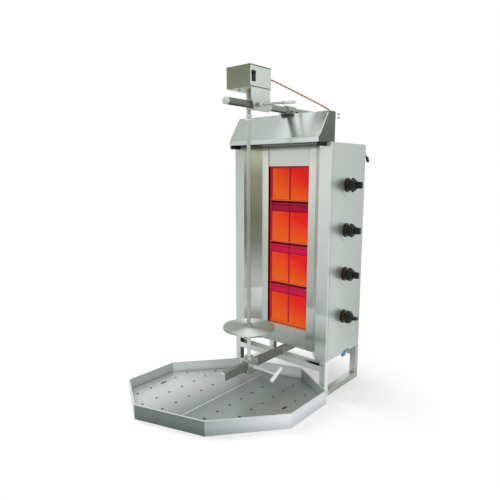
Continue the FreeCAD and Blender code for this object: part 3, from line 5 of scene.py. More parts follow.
import bpy
import numpy as np
from bpy.props import FloatProperty, FloatVectorProperty, IntProperty, PointerProperty
from bpy.types import Operator, Panel, PropertyGroup
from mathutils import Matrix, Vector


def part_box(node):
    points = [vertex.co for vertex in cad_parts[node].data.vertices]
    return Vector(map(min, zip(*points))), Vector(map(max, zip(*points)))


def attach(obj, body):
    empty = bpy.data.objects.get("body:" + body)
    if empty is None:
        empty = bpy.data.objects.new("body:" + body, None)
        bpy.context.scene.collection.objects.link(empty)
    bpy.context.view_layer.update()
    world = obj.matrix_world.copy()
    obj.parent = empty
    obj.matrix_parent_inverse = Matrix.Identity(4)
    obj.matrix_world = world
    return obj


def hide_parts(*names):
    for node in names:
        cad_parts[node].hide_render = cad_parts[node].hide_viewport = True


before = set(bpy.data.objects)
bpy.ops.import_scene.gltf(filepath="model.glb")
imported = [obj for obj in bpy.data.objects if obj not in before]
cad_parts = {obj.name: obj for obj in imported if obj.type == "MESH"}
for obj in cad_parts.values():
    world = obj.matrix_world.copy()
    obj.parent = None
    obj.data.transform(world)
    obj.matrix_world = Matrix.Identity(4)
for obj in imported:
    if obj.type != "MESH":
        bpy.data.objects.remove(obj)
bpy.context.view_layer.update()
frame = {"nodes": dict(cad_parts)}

bl_info = {
    "name": "Gas Doner Kebab Grill",
    "version": (1, 0, 0),
    "blender": (4, 5, 0),
    "location": "View3D > Sidebar > Doner Grill",
    "description": "Steel, burners, knobs, cable and small fittings of an upright gas kebab grill",
    "category": "Object",
}

# The cabinet's middle and its front flanges, in the frame's own metres
CABINET_MIDDLE = 0.04797
CABINET_FRONT = 0.1426215

# Every other size and place is in millimetres: right of that middle, behind those flanges, above the floor.
# FOOT and TOP are the cabinet's lower and upper edge.
FOOT, TOP = 148, 993
PANEL_SIDE, SLOPE_SIDE, STRIP_SIDE, WINDOW_SIDE = 235, 186.5, 134.5, 104
HOOD_SIDE, LIP_TOP, HOOD_TOP = 217, 1011.2, 1106
SPIT_DEPTH = -184.5
TRAY_MIDDLE = (-63.94, -255)
BURNER_PITCH = 176
# Heights of the four burners and their knobs
ROWS = [308 + BURNER_PITCH * row for row in range(4)]
# A bead's ripple that is so long that the bead is smooth
SMOOTH = 400

RIGHT, BEHIND, UP = np.eye(3)
AHEAD, DOWN = -BEHIND, -UP
# A flat's corners, from its middle
SQUARE = ((-1, -1), (1, -1), (1, 1), (-1, 1))


def spot(side, depth, height):
    """A point from millimetres right of the cabinet's middle, behind its front and above the floor."""
    return np.array([side / 1000 + CABINET_MIDDLE, depth / 1000 + CABINET_FRONT, height / 1000])


def paint(colour):
    """Linear numbers of a colour written like B9C3BD. Any other value stays as it is."""
    if not isinstance(colour, str):
        return colour
    parts = [int(colour[at:at + 2], 16) / 255 for at in (0, 2, 4)]
    return (*[part / 12.92 if part <= 0.04045 else ((part + 0.055) / 1.055) ** 2.4 for part in parts], 1.0)


def tone(name, description, colour):
    """A colour that a user can change."""
    return FloatVectorProperty(name=name, description=description, subtype="COLOR", size=4,
                               default=paint(colour))


def number(name, description, default, **rest):
    """A number that a user can change."""
    return FloatProperty(name=name, description=description, default=default, **rest)


class CameraSizes(PropertyGroup):
    """Where the grill is seen from."""

    place: FloatVectorProperty(name="Place", description="Camera's place", subtype="TRANSLATION",
                               unit="LENGTH", default=tuple(spot(1144.9, -1505.7, 885.1)))
    turn: number("Turn", "To the left of straight ahead", math.radians(40.76), subtype="ANGLE")
    tilt: number("Tilt", "Below level", math.radians(9.45), subtype="ANGLE")
    lens: number("Lens", "Focal length on a 36 mm sensor", 33.7, min=5)


class SteelColours(PropertyGroup):
    """Tones of the sheet steel."""

    panel: tone("Panels", "Cabinet's back and top", "C3CCC6")
    # The reflectors' colour is a heat tint together with painted reflection and painted shade.
    reflector: tone("Reflectors", "Heat tint of the sloping faces", "727561")
    frame: tone("Frame", "Square tubes", "D6DCD7")


class HeatColours(PropertyGroup):
    """Colours of the burners when lit."""

    low: tone("Low", "Plaque at its lower edge", "E96523")
    high: tone("High", "Plaque at its upper edge", "E82623")
    housing: tone("Housing", "Burner housings", "CE1446")
    glow: number("Glow", "Strength of the plaques' light", 0.6, min=0)


class CableSizes(PropertyGroup):
    """The motor cable."""

    diameter: number("Diameter", "Across its two twisted strands", 0.006, unit="LENGTH")
    pitch: number("Pitch", "Length of one twist", 0.034, unit="LENGTH")


class KnobSizes(PropertyGroup):
    """The four control knobs."""

    radius: number("Radius", "Knob's skirt", 0.028, unit="LENGTH")
    grip: number("Grip", "Height of the grip bar", 0.027, unit="LENGTH")
    width: number("Width", "Width of the grip bar", 0.012, unit="LENGTH")
    lobes: IntProperty(name="Lobes", description="Lobes round the skirt", default=8, min=3)
    dial: number("Dial", "Radius of the arc on the panel", 0.044, unit="LENGTH")


class StageSizes(PropertyGroup):
    """Floor and light."""

    floor: number("Floor", "Half width of the floor", 9.0, unit="LENGTH")
    key: number("Key", "Power of the main lamp", 55.0, min=0)
    fill: number("Fill", "Power of the second lamp", 32.0, min=0)
    sky: number("Sky", "Strength of the surrounding light", 0.6, min=0)


class Signal:
    """A node's output. Python's operators on it add Math nodes."""

    def __init__(self, graph, socket):
        self.graph = graph
        self.socket = socket

    def work(self, operation, *others, **settings):
        """A Math node of that operation on this value and the others."""
        return self.graph.node("Math", dict(enumerate((self, *others))), operation=operation, **settings)

    def work_second(self, operation, other):
        """The same with this value as the second one."""
        return self.graph.node("Math", {0: other, 1: self}, operation=operation)

    __add__ = __radd__ = partialmethod(work, "ADD")
    __mul__ = __rmul__ = partialmethod(work, "MULTIPLY")
    __sub__ = partialmethod(work, "SUBTRACT")
    __rsub__ = partialmethod(work_second, "SUBTRACT")
    __truediv__ = partialmethod(work, "DIVIDE")
    __rtruediv__ = partialmethod(work_second, "DIVIDE")
    __gt__ = partialmethod(work, "GREATER_THAN")
    __lt__ = partialmethod(work, "LESS_THAN")
    __abs__ = partialmethod(work, "ABSOLUTE")
    sine = partialmethod(work, "SINE")
    root = partialmethod(work, "SQRT")
    # What is left above the whole number below it
    part = partialmethod(work, "FRACT")

    def clipped(self):
        """The value held between 0 and 1."""
        return self.work("ADD", 0.0, use_clamp=True)

    def ramp(self, low, high):
        """0 at low, 1 at high and a straight line between."""
        return ((self - low) / (high - low)).clipped()


class Graph:
    """A tree of nodes, all added by one method."""

    def __init__(self, tree):
        self.tree = tree
        tree.nodes.clear()

    def node(self, kind, sockets=None, output=0, **settings):
        """Adds a node: its settings first, a ramp's stops among them, then its sockets' values or links.

        Gives the output of that number or name, or all of them for None.
        """
        made = self.tree.nodes.new("ShaderNode" + kind)
        for name, setting in settings.items():
            if name == "stops":
                self.fill(made.color_ramp, setting)
            else:
                setattr(made, name, setting)
        for name, given in (sockets or {}).items():
            if isinstance(given, Signal):
                self.tree.links.new(given.socket, made.inputs[name])
            else:
                made.inputs[name].default_value = paint(given)
        if output is None:
            return [Signal(self, socket) for socket in made.outputs]
        return Signal(self, made.outputs[output]) if len(made.outputs) else None

    def fill(self, ramp, stops):
        """Puts (place, colour) stops into a colour ramp."""
        while len(ramp.elements) < len(stops):
            ramp.elements.new(1.0)
        for element, (place, colour) in zip(ramp.elements, stops):
            element.position = place
            element.color = colour

    def mixed(self, mask, first, second):
        """The first colour where the mask is 0 and the second where it is 1."""
        return self.node("Mix", {0: mask, 6: first, 7: second}, 2, data_type="RGBA")

    def seen_rays(self):
        """1 for what the camera, mirrors and glass see, and 0 for what lights the grill."""
        rays = self.node("LightPath", output=None)
        named = {ray.socket.name: ray for ray in rays}
        return (named["Is Camera Ray"] + named["Is Glossy Ray"] + named["Is Transmission Ray"]).clipped()


class Finish(Graph):
    """A material and the nodes that make it."""

    # What the tones of a steel add to its roughness
    roughened = 0.0

    def __init__(self, name):
        self.material = bpy.data.materials.new(name)
        self.material.use_nodes = True
        super().__init__(self.material.node_tree)

    def place(self):
        """The point on the object, in metres."""
        return self.node("TexCoord", output="Object")

    def split(self, vector):
        """A vector's three numbers."""
        return self.node("SeparateXYZ", {0: vector}, None)

    def axes(self):
        """How far the point lies right of the cabinet's middle, behind its front and above the floor."""
        side, depth, height = self.split(self.place())
        return (side - CABINET_MIDDLE) * 1000, (depth - CABINET_FRONT) * 1000, height * 1000

    def facing(self, *direction):
        """How nearly the surface faces a direction: 1 straight at it, 0 square to it."""
        normal = self.node("TexCoord", output="Normal")
        return self.node("VectorMath", {0: normal, 1: direction}, "Value", operation="DOT_PRODUCT")

    def noise(self, size, detail=3.0, rough=0.5, turn=(0, 0, 0)):
        """Noise from 0 to 1 of that fineness. With one for each axis, its grain runs along the least."""
        where = self.place()
        if not isinstance(size, float):
            where = self.node("Mapping", {"Vector": where, "Scale": size, "Rotation": turn})
            size = 1.0
        return self.node("TexNoise", {"Vector": where, "Scale": size, "Detail": detail, "Roughness": rough})

    def graded(self, value, stops):
        """Colours given at places, blended between them."""
        low, high = min(stops), max(stops)
        spread = [((at - low) / (high - low), paint(code)) for at, code in stops.items()]
        return self.node("ValToRGB", {0: value.ramp(low, high)}, stops=spread)

    def toned(self, colour, factor):
        """A colour made darker or lighter by a number."""
        colour = colour if isinstance(colour, Signal) else paint(colour)[:3]
        return self.node("VectorMath", {0: colour, "Scale": factor}, operation="SCALE")

    def bump(self, height, distance, strength=1.0):
        return self.node("Bump", {"Height": height, "Distance": distance, "Strength": strength})

    def surface(self, **sockets):
        """The Principled surface with these sockets, joined to the output."""
        named = {name.replace("_", " "): given for name, given in sockets.items()}
        return self.ended(self.node("BsdfPrincipled", named))

    def ended(self, shader):
        self.node("OutputMaterial", {"Surface": shader})
        return self.material


def steel(name, shade, rough, metal, grain=(700, 700, 9), depth=0.00004, cloud=0.05, ridges=0.04):
    """Sheet steel brushed along the least scaled axis, with soft clouds, wiped smears and stray scratches.

    shade is a colour, or a function that works one out from the place.
    """
    finish = Finish(name + "_steel")
    lines = finish.noise(grain, 2.0, 0.6) - 0.5
    clouds = finish.noise(5.0, 2.0) - 0.5
    smears = finish.noise((22, 22, 7), 4.0, 0.65) - 0.5
    scratches = finish.noise([axis * 0.3 for axis in grain], 5.0, 0.7, (0.3, 0.25, 0.2))
    colour = shade(finish) if callable(shade) else shade
    level = 1 + (clouds + smears * 0.5) * (cloud * 2) + lines * (ridges * 2)
    roughness = (rough + (clouds + lines) * 0.1 + (smears + scratches.ramp(0.62, 0.75)) * 0.08
                 + finish.roughened).clipped()
    return finish.surface(Base_Color=finish.toned(colour, level), Roughness=roughness, Metallic=metal,
                          Normal=finish.bump(lines + scratches * 0.5, depth, 0.6))


def hood_lip_painted_shade(height):
    """How much painted shade the hood's lip throws on what stands under it."""
    return height.ramp(970, 984) * 0.78


def column_tones(finish):
    """Flange and strip with painted reflection bands, and the sloping face between them with a heat tint and
    painted reflections, all with painted shade under the hood's lip.
    """
    side, depth, height = finish.axes()
    middle = abs(side)
    right = side > 0
    folded = middle < SLOPE_SIDE
    strip = middle < STRIP_SIDE
    slope = folded * (middle > STRIP_SIDE)
    # Flanges and strips: height gradings of painted reflection bands
    left_flange = finish.graded(height, {FOOT: "C0CAC5", 560: "BFCCC1", TOP: "BAC1BC"})
    right_flange = finish.graded(height, {FOOT: "D0DAD6", 196: "E4EDE9", 236: "ACB6B1", 262: "BDC8C3",
                                          330: "D3DDDA", 340: "BAC5C1", 560: "C2CCC8", TOP: "E2E9E4"})
    left_strip = finish.graded(height, {231: "C6D1CB", 560: "C4CDC2", 909: "EEF2E8"})
    right_strip = finish.graded(height, {FOOT: "B1BAB5", 190: "C2CBC6", 208: "A2ABA6", 236: "C6CFCA",
                                         330: "D2DAD6", 340: "B4BDB7", 560: "B4BDB4", 909: "EBEFE8"})
    # Heat tint together with painted reflections and painted shade, graded by height
    tint = finish.graded(height, {190: "AEB6A8", 262: "A4ABA1", 310: "D6DFD9", 376: "E6EFEA", 385: "BFC7C0",
                                  428: "BFC7C0", 513: "9DA49C", 584: "7E8170", 700: "757863", 870: "9B9D88",
                                  960: "D8DDC0", TOP: "CDD1B8"})
    tint = finish.mixed(0.15, tint, bpy.context.scene.grill_steel.reflector)
    # The right slope painted paler as a painted reflection
    tint = finish.mixed(right * 0.55, tint, "C8D2CA")
    colour = finish.mixed(right, left_flange, right_flange)
    colour = finish.mixed(strip, colour, finish.mixed(right, left_strip, right_strip))
    # Painted shade under the hood's lip on the folded parts
    colour = finish.toned(finish.mixed(slope, colour, tint), 1 - folded * hood_lip_painted_shade(height))
    # Painted dark red reflection of the burners on the strips' inner edges
    inner_edge_reflection = depth.ramp(60.5, 62) * (middle < WINDOW_SIDE) * height.ramp(200, 240)
    finish.roughened = slope * -0.08
    return finish.mixed(inner_edge_reflection, colour, "4A0E18")


def panel_tones(finish):
    """Side panels with painted shade, a little deeper low down and towards the back, and a painted highlight
    on the paler folded front edge.
    """
    _, depth, height = finish.axes()
    # Height gradings of painted reflection and shade, one at the front and one at the back
    front = finish.graded(height, {FOOT: "C6CFC9", 210: "C4CEC7", 330: "C4CDC6", 620: "C1CBC5",
                                   TOP: "BAC4BE"})
    back = finish.graded(height, {FOOT: "B4BEB8", 250: "A8B4AA", 620: "B6BFBA", TOP: "B6BFB9"})
    # Painted shade deepens towards the back, and the folded front edge is painted pale as a highlight
    colour = finish.mixed(depth < 14, finish.mixed(depth.ramp(60, 260), front, back), "CCD4CF")
    seam = 1 - abs(depth - 15.2).ramp(1, 2.2)
    return finish.toned(colour, 1 - seam * 0.38)


def hood_tones(finish):
    """Polished front with painted reflections: it pales to the right and holds a dark painted reflection at
    its upper right. The end plates are darker, with a rougher finish and a painted dark reflection.
    """
    side, _, height = finish.axes()
    # Painted reflection, paler to the right
    front = finish.graded(side, {-HOOD_SIDE: "ABB3AA", 0: "B8BFBC", 70: "D9E3DF", HOOD_SIDE: "D6E0DC"})
    # Dark painted reflection at the upper right
    front = finish.mixed(height.ramp(1015, 1080) * side.ramp(140, 200), front, "8C908E")
    # The lip's painted reflection, paler to the right
    lip = finish.graded(side, {-HOOD_SIDE: "C3CAC6", HOOD_SIDE: "DBE2DF"})
    end = abs(side) > HOOD_SIDE - 1.3
    finish.roughened = end * 0.14
    # End plates darkened by a painted reflection
    return finish.mixed(end, finish.mixed(height < LIP_TOP, front, lip),
                        finish.graded(height, {TOP: "565A53", HOOD_TOP: "656A63"}))


def fascia_tones(finish):
    """Upper and lower fascia, graded by height with painted reflections and painted shade under the hood's
    lip; the upper one has painted shade in the gap at each side.
    """
    side, _, height = finish.axes()
    # Height grading of painted reflections, warmed by the burners' glow near them
    shade = finish.graded(height, {FOOT: "BCC4BC", 205: "BAC3BB", 231: "D6C4B8", 500: "C0BFB2",
                                   880: "DCE0D6", TOP: "F0F6EE"})
    # Painted shade in the gap at each side of the upper fascia
    gap = abs(side).ramp(98.5, 102.5) * (height > 500)
    return finish.toned(shade, (1 - hood_lip_painted_shade(height)) * (1 - gap * 0.5))


def frame_tones(finish):
    """Square tube with painted light: the front right leg's outer side is painted pale and the rear one's
    grey, and the sides that face the gap are painted in deep shade.
    """
    side, depth, height = finish.axes()
    right = finish.facing(1, 0, 0) > 0.7
    leg = right * (side > 230)
    # Painted shade on the left tubes' sides that face the gap
    colour = finish.mixed(right * (side < 0), bpy.context.scene.grill_steel.frame, "4E5149")
    # Painted highlight on the front right leg's outer side
    colour = finish.mixed(leg * (depth < 30) * (height > 25), colour, "F4FAF8")
    # Painted shade on the rear right leg's outer side
    return finish.mixed(leg * (depth > 30), colour, "AFB4A9")


def arm_tones(finish):
    """Lower arm: a paler top above deeper sides, painted as light from above and shade on the sides."""
    return finish.mixed(finish.facing(0, 0, 1) > 0.7, "84877D", "787B74")


def upper_arm_tones(finish):
    """Upper arm and its saddle: painted paler behind the motor and darker in front, with painted shade on
    their undersides.
    """
    _, depth, _ = finish.axes()
    colour = finish.mixed(depth.ramp(-130, -100), "6E746C", "979F96")
    # Painted shade on faces that look down
    return finish.mixed(finish.facing(0, 0, -1).ramp(0.6, 0.85), colour, "3A3E38")


def bracket_tones(finish):
    """Plate under the motor box, with painted shade that deepens towards the arm."""
    _, _, height = finish.axes()
    return finish.graded(height, {1098: "B4BCB6", 1176: "CDD7D1"})


def disc_tones(finish):
    """Bright turned disc with two darker painted reflection wedges that meet at the spit."""
    side, depth, _ = finish.axes()
    behind = depth - SPIT_DEPTH
    turn = behind.work("ARCTAN2", side)
    reflection_wedge = abs((turn + 0.84).sine()).ramp(0.1, 0.8)
    near = 1 - (side * side + behind * behind).root().ramp(12, 45)
    return finish.mixed(near, finish.mixed(reflection_wedge, "EDF4F2", "8B9288"), "A2AAA3")


def tray_tones(finish):
    """Each wall in its own tone of painted reflection with painted shade at its foot, a floor whose painted
    reflections deepen to the right, and a painted highlight on the rim.
    """
    side, depth, height = finish.axes()
    across, behind = side - TRAY_MIDDLE[0], depth - TRAY_MIDDLE[1]
    # Painted reflections on the floor, deeper to the right
    colour = finish.graded(side, {-394: "DCE2E0", -230: "BFC6C4", -70: "7D8684", 110: "9FAAA5",
                                  266: "B3BFBA"})
    # Painted shade at the foot of each wall
    foot = 0.8 + height.ramp(10, 35) * 0.2
    # Painted reflections on pairs of walls, by the direction that the right one faces: its outside at the
    # front and at the back, and its inside. The left ones are all alike.
    wall_reflections = [((0.2979, -0.9546), ("6B7A74", "6B7A74", "FBFFFE")),
             ((0.7704, -0.6376), ("A8B3B3", "F2F6F8", "E8F0EE")),
             ((1.0, 0.0), ("EDF0F3", "EDF0F3", "BFC8C5"))]
    for (right, ahead), tones in wall_reflections:
        for way, (front, back, inside) in ((1, tones), (-1, ("9EA8A6", "9EA8A6", "C9D1CF"))):
            wall = finish.facing(right * way, ahead * way, 0) > 0.95
            outside = (across * (right * way) + behind * (ahead * way)) > 0
            shade = finish.mixed(outside, inside, finish.mixed(depth.ramp(-499, -267), front, back))
            colour = finish.mixed(wall, colour, finish.toned(shade, foot))
    # Painted highlight on the rim
    rim_highlight = height > 54.5
    finish.roughened = rim_highlight * 0.05
    return finish.mixed(rim_highlight, colour, "D5DAD8")


def crossbar_tones(finish):
    """Folded crossbar with black painted shade in its channel, near the right leg."""
    side, depth, height = finish.axes()
    slot_shade = (height < 126.5) * (depth > 10) * (depth < 100) * side.ramp(115, 150)
    # Black painted shade in the channel
    return finish.mixed(slot_shade * (finish.facing(0, -1, 0) > 0.7), "E9EEEB", "121312")


def lever_tones(finish):
    """A thin grey rod in a thicker, paler grip."""
    _, depth, _ = finish.axes()
    grip = depth.ramp(-67, -64)
    finish.roughened = grip * 0.2
    return finish.mixed(grip, "A9B1AC", "D3D8D6")


def rod_tones(finish):
    """Spit and drive shaft with painted reflections: bright below the disc, deeper in front of the burners.
    """
    _, _, height = finish.axes()
    return finish.graded(height, {163: "E6EAE8", 262: "E0E5E2", 300: "A8B2AD", 500: "9DA79F", 700: "8E988C",
                                  1050: "BBC5B4", 1079: "C6CDC2", 1190: "A9B3A5"})


def make_finishes():
    """Every material by name."""
    steels = [
        # Name, colour or tones, roughness, metal, grain, depth of its bump, clouds, ridges
        ("panel", panel_tones, 0.34, 0.8),
        ("back", bpy.context.scene.grill_steel.panel, 0.36, 0.8),
        ("fascia", fascia_tones, 0.34, 0.5, (9, 700, 700)),
        ("column", column_tones, 0.34, 0.7, (700, 700, 9), 0.00001, 0.03, 0.02),
        ("hood", hood_tones, 0.22, 0.9, (6, 700, 700), 0.00001, 0.02, 0.015),
        ("shaded", "3E3F3A", 0.45, 1.0),
        ("tray", tray_tones, 0.34, 0.2, (9, 500, 500), 0.00002, 0.05, 0.02),
        ("plate", tray_tones, 0.34, 0.4, (9, 500, 500), 0.00002, 0.05, 0.02),
        ("frame", frame_tones, 0.3, 0.45, (500, 500, 10)),
        ("rail", frame_tones, 0.3, 0.6, (500, 10, 500)),
        ("beam", arm_tones, 0.36, 0.5, (500, 10, 500), 0.00008, 0.2, 0.12),
        ("crossbar", crossbar_tones, 0.32, 0.5, (10, 500, 500)),
        ("box", "A3A995", 0.3, 0.9, (9, 700, 700)),
        ("cover", "C8D1CB", 0.32, 0.9),
        ("bracket", bracket_tones, 0.32, 0.9),
        ("bright", "C6CDC8", 0.24, 0.8, (300, 300, 12)),
        ("lever", lever_tones, 0.2, 0.9, (300, 12, 300)),
        ("arm", upper_arm_tones, 0.42, 0.35, (500, 12, 500)),
        ("rod", rod_tones, 0.36, 0.4, (300, 300, 14)),
        ("disc", disc_tones, 0.4, 0.2, (60, 600, 60)),
        ("screw", "B2B8B2", 0.25, 1.0, (400, 400, 400)),
        ("dark_screw", "2E3236", 0.35, 1.0, (400, 400, 400)),
        ("bright_edge", "EEF2F0", 0.3, 0.3, (300, 300, 300)),
        ("weld", "A3A79B", 0.4, 1.0, (300, 300, 300)),
    ]
    others = {
        "plaque": plaque_finish(),
        "housing": housing_finish(),
        "brass": metal_finish("gas_brass", "C9A24E", 0.3, 0.12),
        "motor": metal_finish("motor_casting", "4A4B4C", 0.55, 0.2),
        "knob": plastic_finish("knob_plastic", "040507", 0.26, 0.12),
        "black": plastic_finish("black_plastic", "0D0D0E", 0.4, 0.1),
        "rubber": plastic_finish("end_block_rubber", "1B1B1A", 0.7, 0.0, True),
        "white": plastic_finish("white_plastic", "CBD3CC", 0.45, 0.1),
        "blue": plastic_finish("tap_lever_plastic", "1878B8", 0.3, 0.4),
        "ink": plastic_finish("dial_ink", "848C88", 0.5, 0.0),
        "cable": cable_finish(),
    }
    return {row[0]: steel(*row) for row in steels} | others


def metal_finish(name, code, rough, mottle):
    """Cast or turned metal with a fine mottle and small pits."""
    finish = Finish(name)
    grains = finish.noise(260.0, 4.0, 0.6) - 0.5
    clouds = finish.noise(24.0, 2.0) - 0.5
    return finish.surface(Base_Color=finish.toned(code, 1 + (grains + clouds * 1.5) * mottle),
                          Roughness=(rough + clouds * 0.2).clipped(), Metallic=0.9,
                          Normal=finish.bump(grains, 0.00006))


def plastic_finish(name, code, rough, coat, capped=False):
    """Moulded plastic or rubber: a fine grain, and a little dust in its tone.

    Where capped, the left block's inner part is as pale as the flange below it.
    """
    finish = Finish(name)
    grains = finish.noise(900.0, 2.0)
    dust = finish.noise(35.0, 5.0, 0.7)
    colour = finish.mixed(dust.ramp(0.5, 0.9) * 0.05, code, "9A9C98")
    if capped:
        side, _, _ = finish.axes()
        colour = finish.mixed((side > -207) * (side < 0), colour, "969C97")
    return finish.surface(Base_Color=colour, Roughness=(rough + (dust - 0.5) * 0.16).clipped(),
                          Coat_Weight=coat, Coat_Roughness=0.08, Specular_IOR_Level=0.25,
                          Normal=finish.bump(grains, 0.00003))


def burner_row(height):
    """How far up its own burner a height lies, from 0 to 1."""
    return ((height - ROWS[0] + BURNER_PITCH / 2) / BURNER_PITCH).part()


def plaque_finish():
    """Glowing ceramic: orange below and red above, with rows of fine holes and a dark upper edge.

    The holes stand where sin(across) * sin(height) peaks, both turned once for each pitch.
    """
    heat = bpy.context.scene.grill_heat
    finish = Finish("glowing_plaque")
    across, _, height = finish.axes()
    row = burner_row(height)
    clouds = finish.noise(16.0) - 0.5
    warm = (row.ramp(0.12, 0.88) * (0.85 + across * 0.005) + clouds * 0.5 + across * 0.0012).ramp(0, 0.85)
    turns = 2 * math.pi / 4.2
    holes = ((across * turns).sine() * (height * turns).sine()).ramp(0.25, 0.8)
    colour = finish.toned(finish.mixed(warm, heat.low, heat.high), 1.04 - holes * 0.3)
    colour = finish.mixed(row.ramp(0.842, 0.858) * (height < 880) * 0.97, colour, "4A0A20")
    return finish.surface(Base_Color=finish.toned(colour, 0.5), Roughness=0.9, Specular_IOR_Level=0.1,
                          Emission_Color=colour, Emission_Strength=heat.glow,
                          Normal=finish.bump(1 - holes, 0.0004))


def housing_finish():
    """Burner housing: crimson bars with a black seam under each plaque, and plaque coloured ends; the top end
    is darkened as painted shade under the fascia.
    """
    heat = bpy.context.scene.grill_heat
    finish = Finish("burner_housing")
    across, depth, height = finish.axes()
    row = burner_row(height)
    streaks = finish.noise((16, 200, 200), 4.0, 0.7)
    seam = 1 - abs(row - 0.082).ramp(0.02, 0.03)
    divider = abs(across) < 4
    level = ((0.42 + streaks * 0.9) * (1 - seam * 0.94) * (1 - divider * 0.3)
             * (1 - height.ramp(620, 740) * 0.4))
    lowest = finish.toned(heat.low, 0.45 + height.ramp(235.5, 237.5) * 0.55)
    # Painted shade under the fascia above the uppermost plaque
    highest = finish.toned(heat.high, 1 - height.ramp(903.5, 905) * 0.8)
    inside = abs(across) < 97
    glow = finish.mixed((across < -95) * 0.6, finish.toned(heat.housing, level), heat.high)
    glow = finish.mixed(inside * (height < 243), glow, lowest)
    glow = finish.mixed(inside * (height > 901), glow, highest)
    glow = finish.mixed(inside * (row > 0.107) * (row < 0.126), glow, heat.low)
    front = 1 - depth.ramp(76.5, 79)
    return finish.surface(Base_Color=finish.mixed(front, "70716E", finish.toned(glow, 0.5)),
                          Roughness=(0.35 + streaks * 0.3).clipped(), Specular_IOR_Level=0.15,
                          Emission_Color=finish.toned(glow, front), Emission_Strength=heat.glow,
                          Normal=finish.bump(streaks, 0.0002))


def cable_finish():
    """Two copper coloured strands with paler patches and a dark groove. The UV runs along the cable."""
    finish = Finish("twisted_cable")
    length, turn, _ = finish.split(finish.node("UVMap", uv_map="along"))
    strand = ((turn * 2 - length * 2) * math.pi).sine()
    patches = finish.noise(60.0)
    colour = finish.mixed(patches.ramp(0.35, 0.7), "B0652F", "C87454")
    colour = finish.mixed((1 - abs(strand)).ramp(0.72, 1), colour, "8A4A26")
    return finish.surface(Base_Color=colour, Roughness=(0.32 + patches * 0.2).clipped(), Coat_Weight=0.1,
                          Normal=finish.bump(patches, 0.0001))


def floor_finish(sky):
    """White floor that keeps the grill's shadow near it, and is plain white further off.

    Its own light is full white only to the camera, to mirrors and through glass.
    """
    finish = Finish("studio_floor")
    seen = finish.seen_rays()
    away = finish.node("VectorMath", {0: finish.place()}, "Value", operation="LENGTH")
    near = finish.node("BsdfPrincipled", {
        "Base Color": "DADADA", "Roughness": 0.9, "Specular IOR Level": 0.0,
        "Emission Color": finish.mixed(seen, "000000", "A0A0A0"), "Emission Strength": 1.0})
    white = finish.mixed(seen, (sky, sky, sky, 1), "FFFFFF")
    far = finish.node("Emission", {"Color": white, "Strength": 1.0})
    return finish.ended(finish.node("MixShader", {0: away.ramp(0.46, 0.76), 1: near, 2: far}))


def card_finish(name, code, strength):
    """A plain card that mirrors see."""
    return Finish(name).surface(Base_Color="000000", Roughness=1.0, Specular_IOR_Level=0.0,
                                Emission_Color=code, Emission_Strength=strength)


def shell(points, closed=False):
    """Points in rings, rows by columns, with their quads, and a face over the first and the last ring.

    Seen from the last ring, rings that run anticlockwise face outward. closed joins it to the first.
    """
    rows, columns = points.shape[:2]
    first, second = np.meshgrid(np.arange(rows if closed else rows - 1), np.arange(columns), indexing="ij")
    lower, upper, beside = first * columns, (first + 1) % rows * columns, (second + 1) % columns
    quads = np.stack([lower + second, lower + beside, upper + beside, upper + second], -1).reshape(-1, 4)
    ring = np.arange(columns)
    ends = [] if closed else [ring[::-1], ring + (rows - 1) * columns]
    return points.reshape(-1, 3), quads, ends


def added(name, data):
    """An object with that data, put into the scene."""
    made = bpy.data.objects.new(name, data)
    bpy.context.scene.collection.objects.link(made)
    return made


def make_piece(name, shells, finish, body):
    """One object from closed shells, smooth but for its sharp edges."""
    points, faces, start = [], [], 0
    for corners, quads, ends in shells:
        points.append(corners)
        faces += (quads + start).tolist() + [(ring + start).tolist() for ring in ends]
        start += len(corners)
    mesh = bpy.data.meshes.new(name)
    mesh.from_pydata(np.concatenate(points).tolist(), [], faces)
    mesh.validate()
    mesh.update()
    mesh.shade_smooth()
    mesh.set_sharp_from_angle(angle=math.radians(38))
    piece = added(name, mesh)
    mesh.materials.append(FINISHES[finish])
    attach(piece, body)
    return piece


def around(count):
    """Angles of that many even steps round a circle."""
    return np.arange(count) / count * 2 * math.pi


def unit(vectors):
    """The same directions, each with a length of 1."""
    return vectors / np.linalg.norm(vectors, axis=-1, keepdims=True)


def square_to(axis):
    """Two directions square to an axis, such that first x second = axis."""
    level = abs(axis).max() > 0.999
    first = np.roll(np.abs(axis), 1) if level else unit(np.cross(axis, (0.31, 0.52, 0.79)))
    return first, np.cross(axis, first)


def ringed(centres, reach, angle, first, second):
    """Rings of points, each at centre + reach * (cos angle * first + sin angle * second)."""
    return centres[:, None, :] + reach[..., None] * (np.cos(angle)[:, None] * first[..., None, :]
                                                     + np.sin(angle)[:, None] * second[..., None, :])


def turned(profile, centre, axis, count=24, closed=False, turn=0.0, size=1.0):
    """A profile of (place along the axis, radius, corners), in a size of millimetres, carried round an axis.

    Its rings stand at centre + place * axis and reach radius * form. form is 1 on a round ring, and
    cos 30 / cos(angle within its sixth - 30 degrees) on a hexagon. corners blends the two.
    """
    rows = np.array([(*row, 0.0)[:3] for row in profile], float)
    first, second = square_to(axis)
    angle = around(count)
    hexagon = math.cos(math.pi / 6) / np.cos(angle % (math.pi / 3) - math.pi / 6)
    place, radius = rows[:, :1] * size / 1000, rows[:, 1:2] * size / 1000
    form = 1 + rows[:, 2:3] * (hexagon - 1)
    return shell(ringed(centre + place * axis, radius * form, angle + turn, first, second), closed)


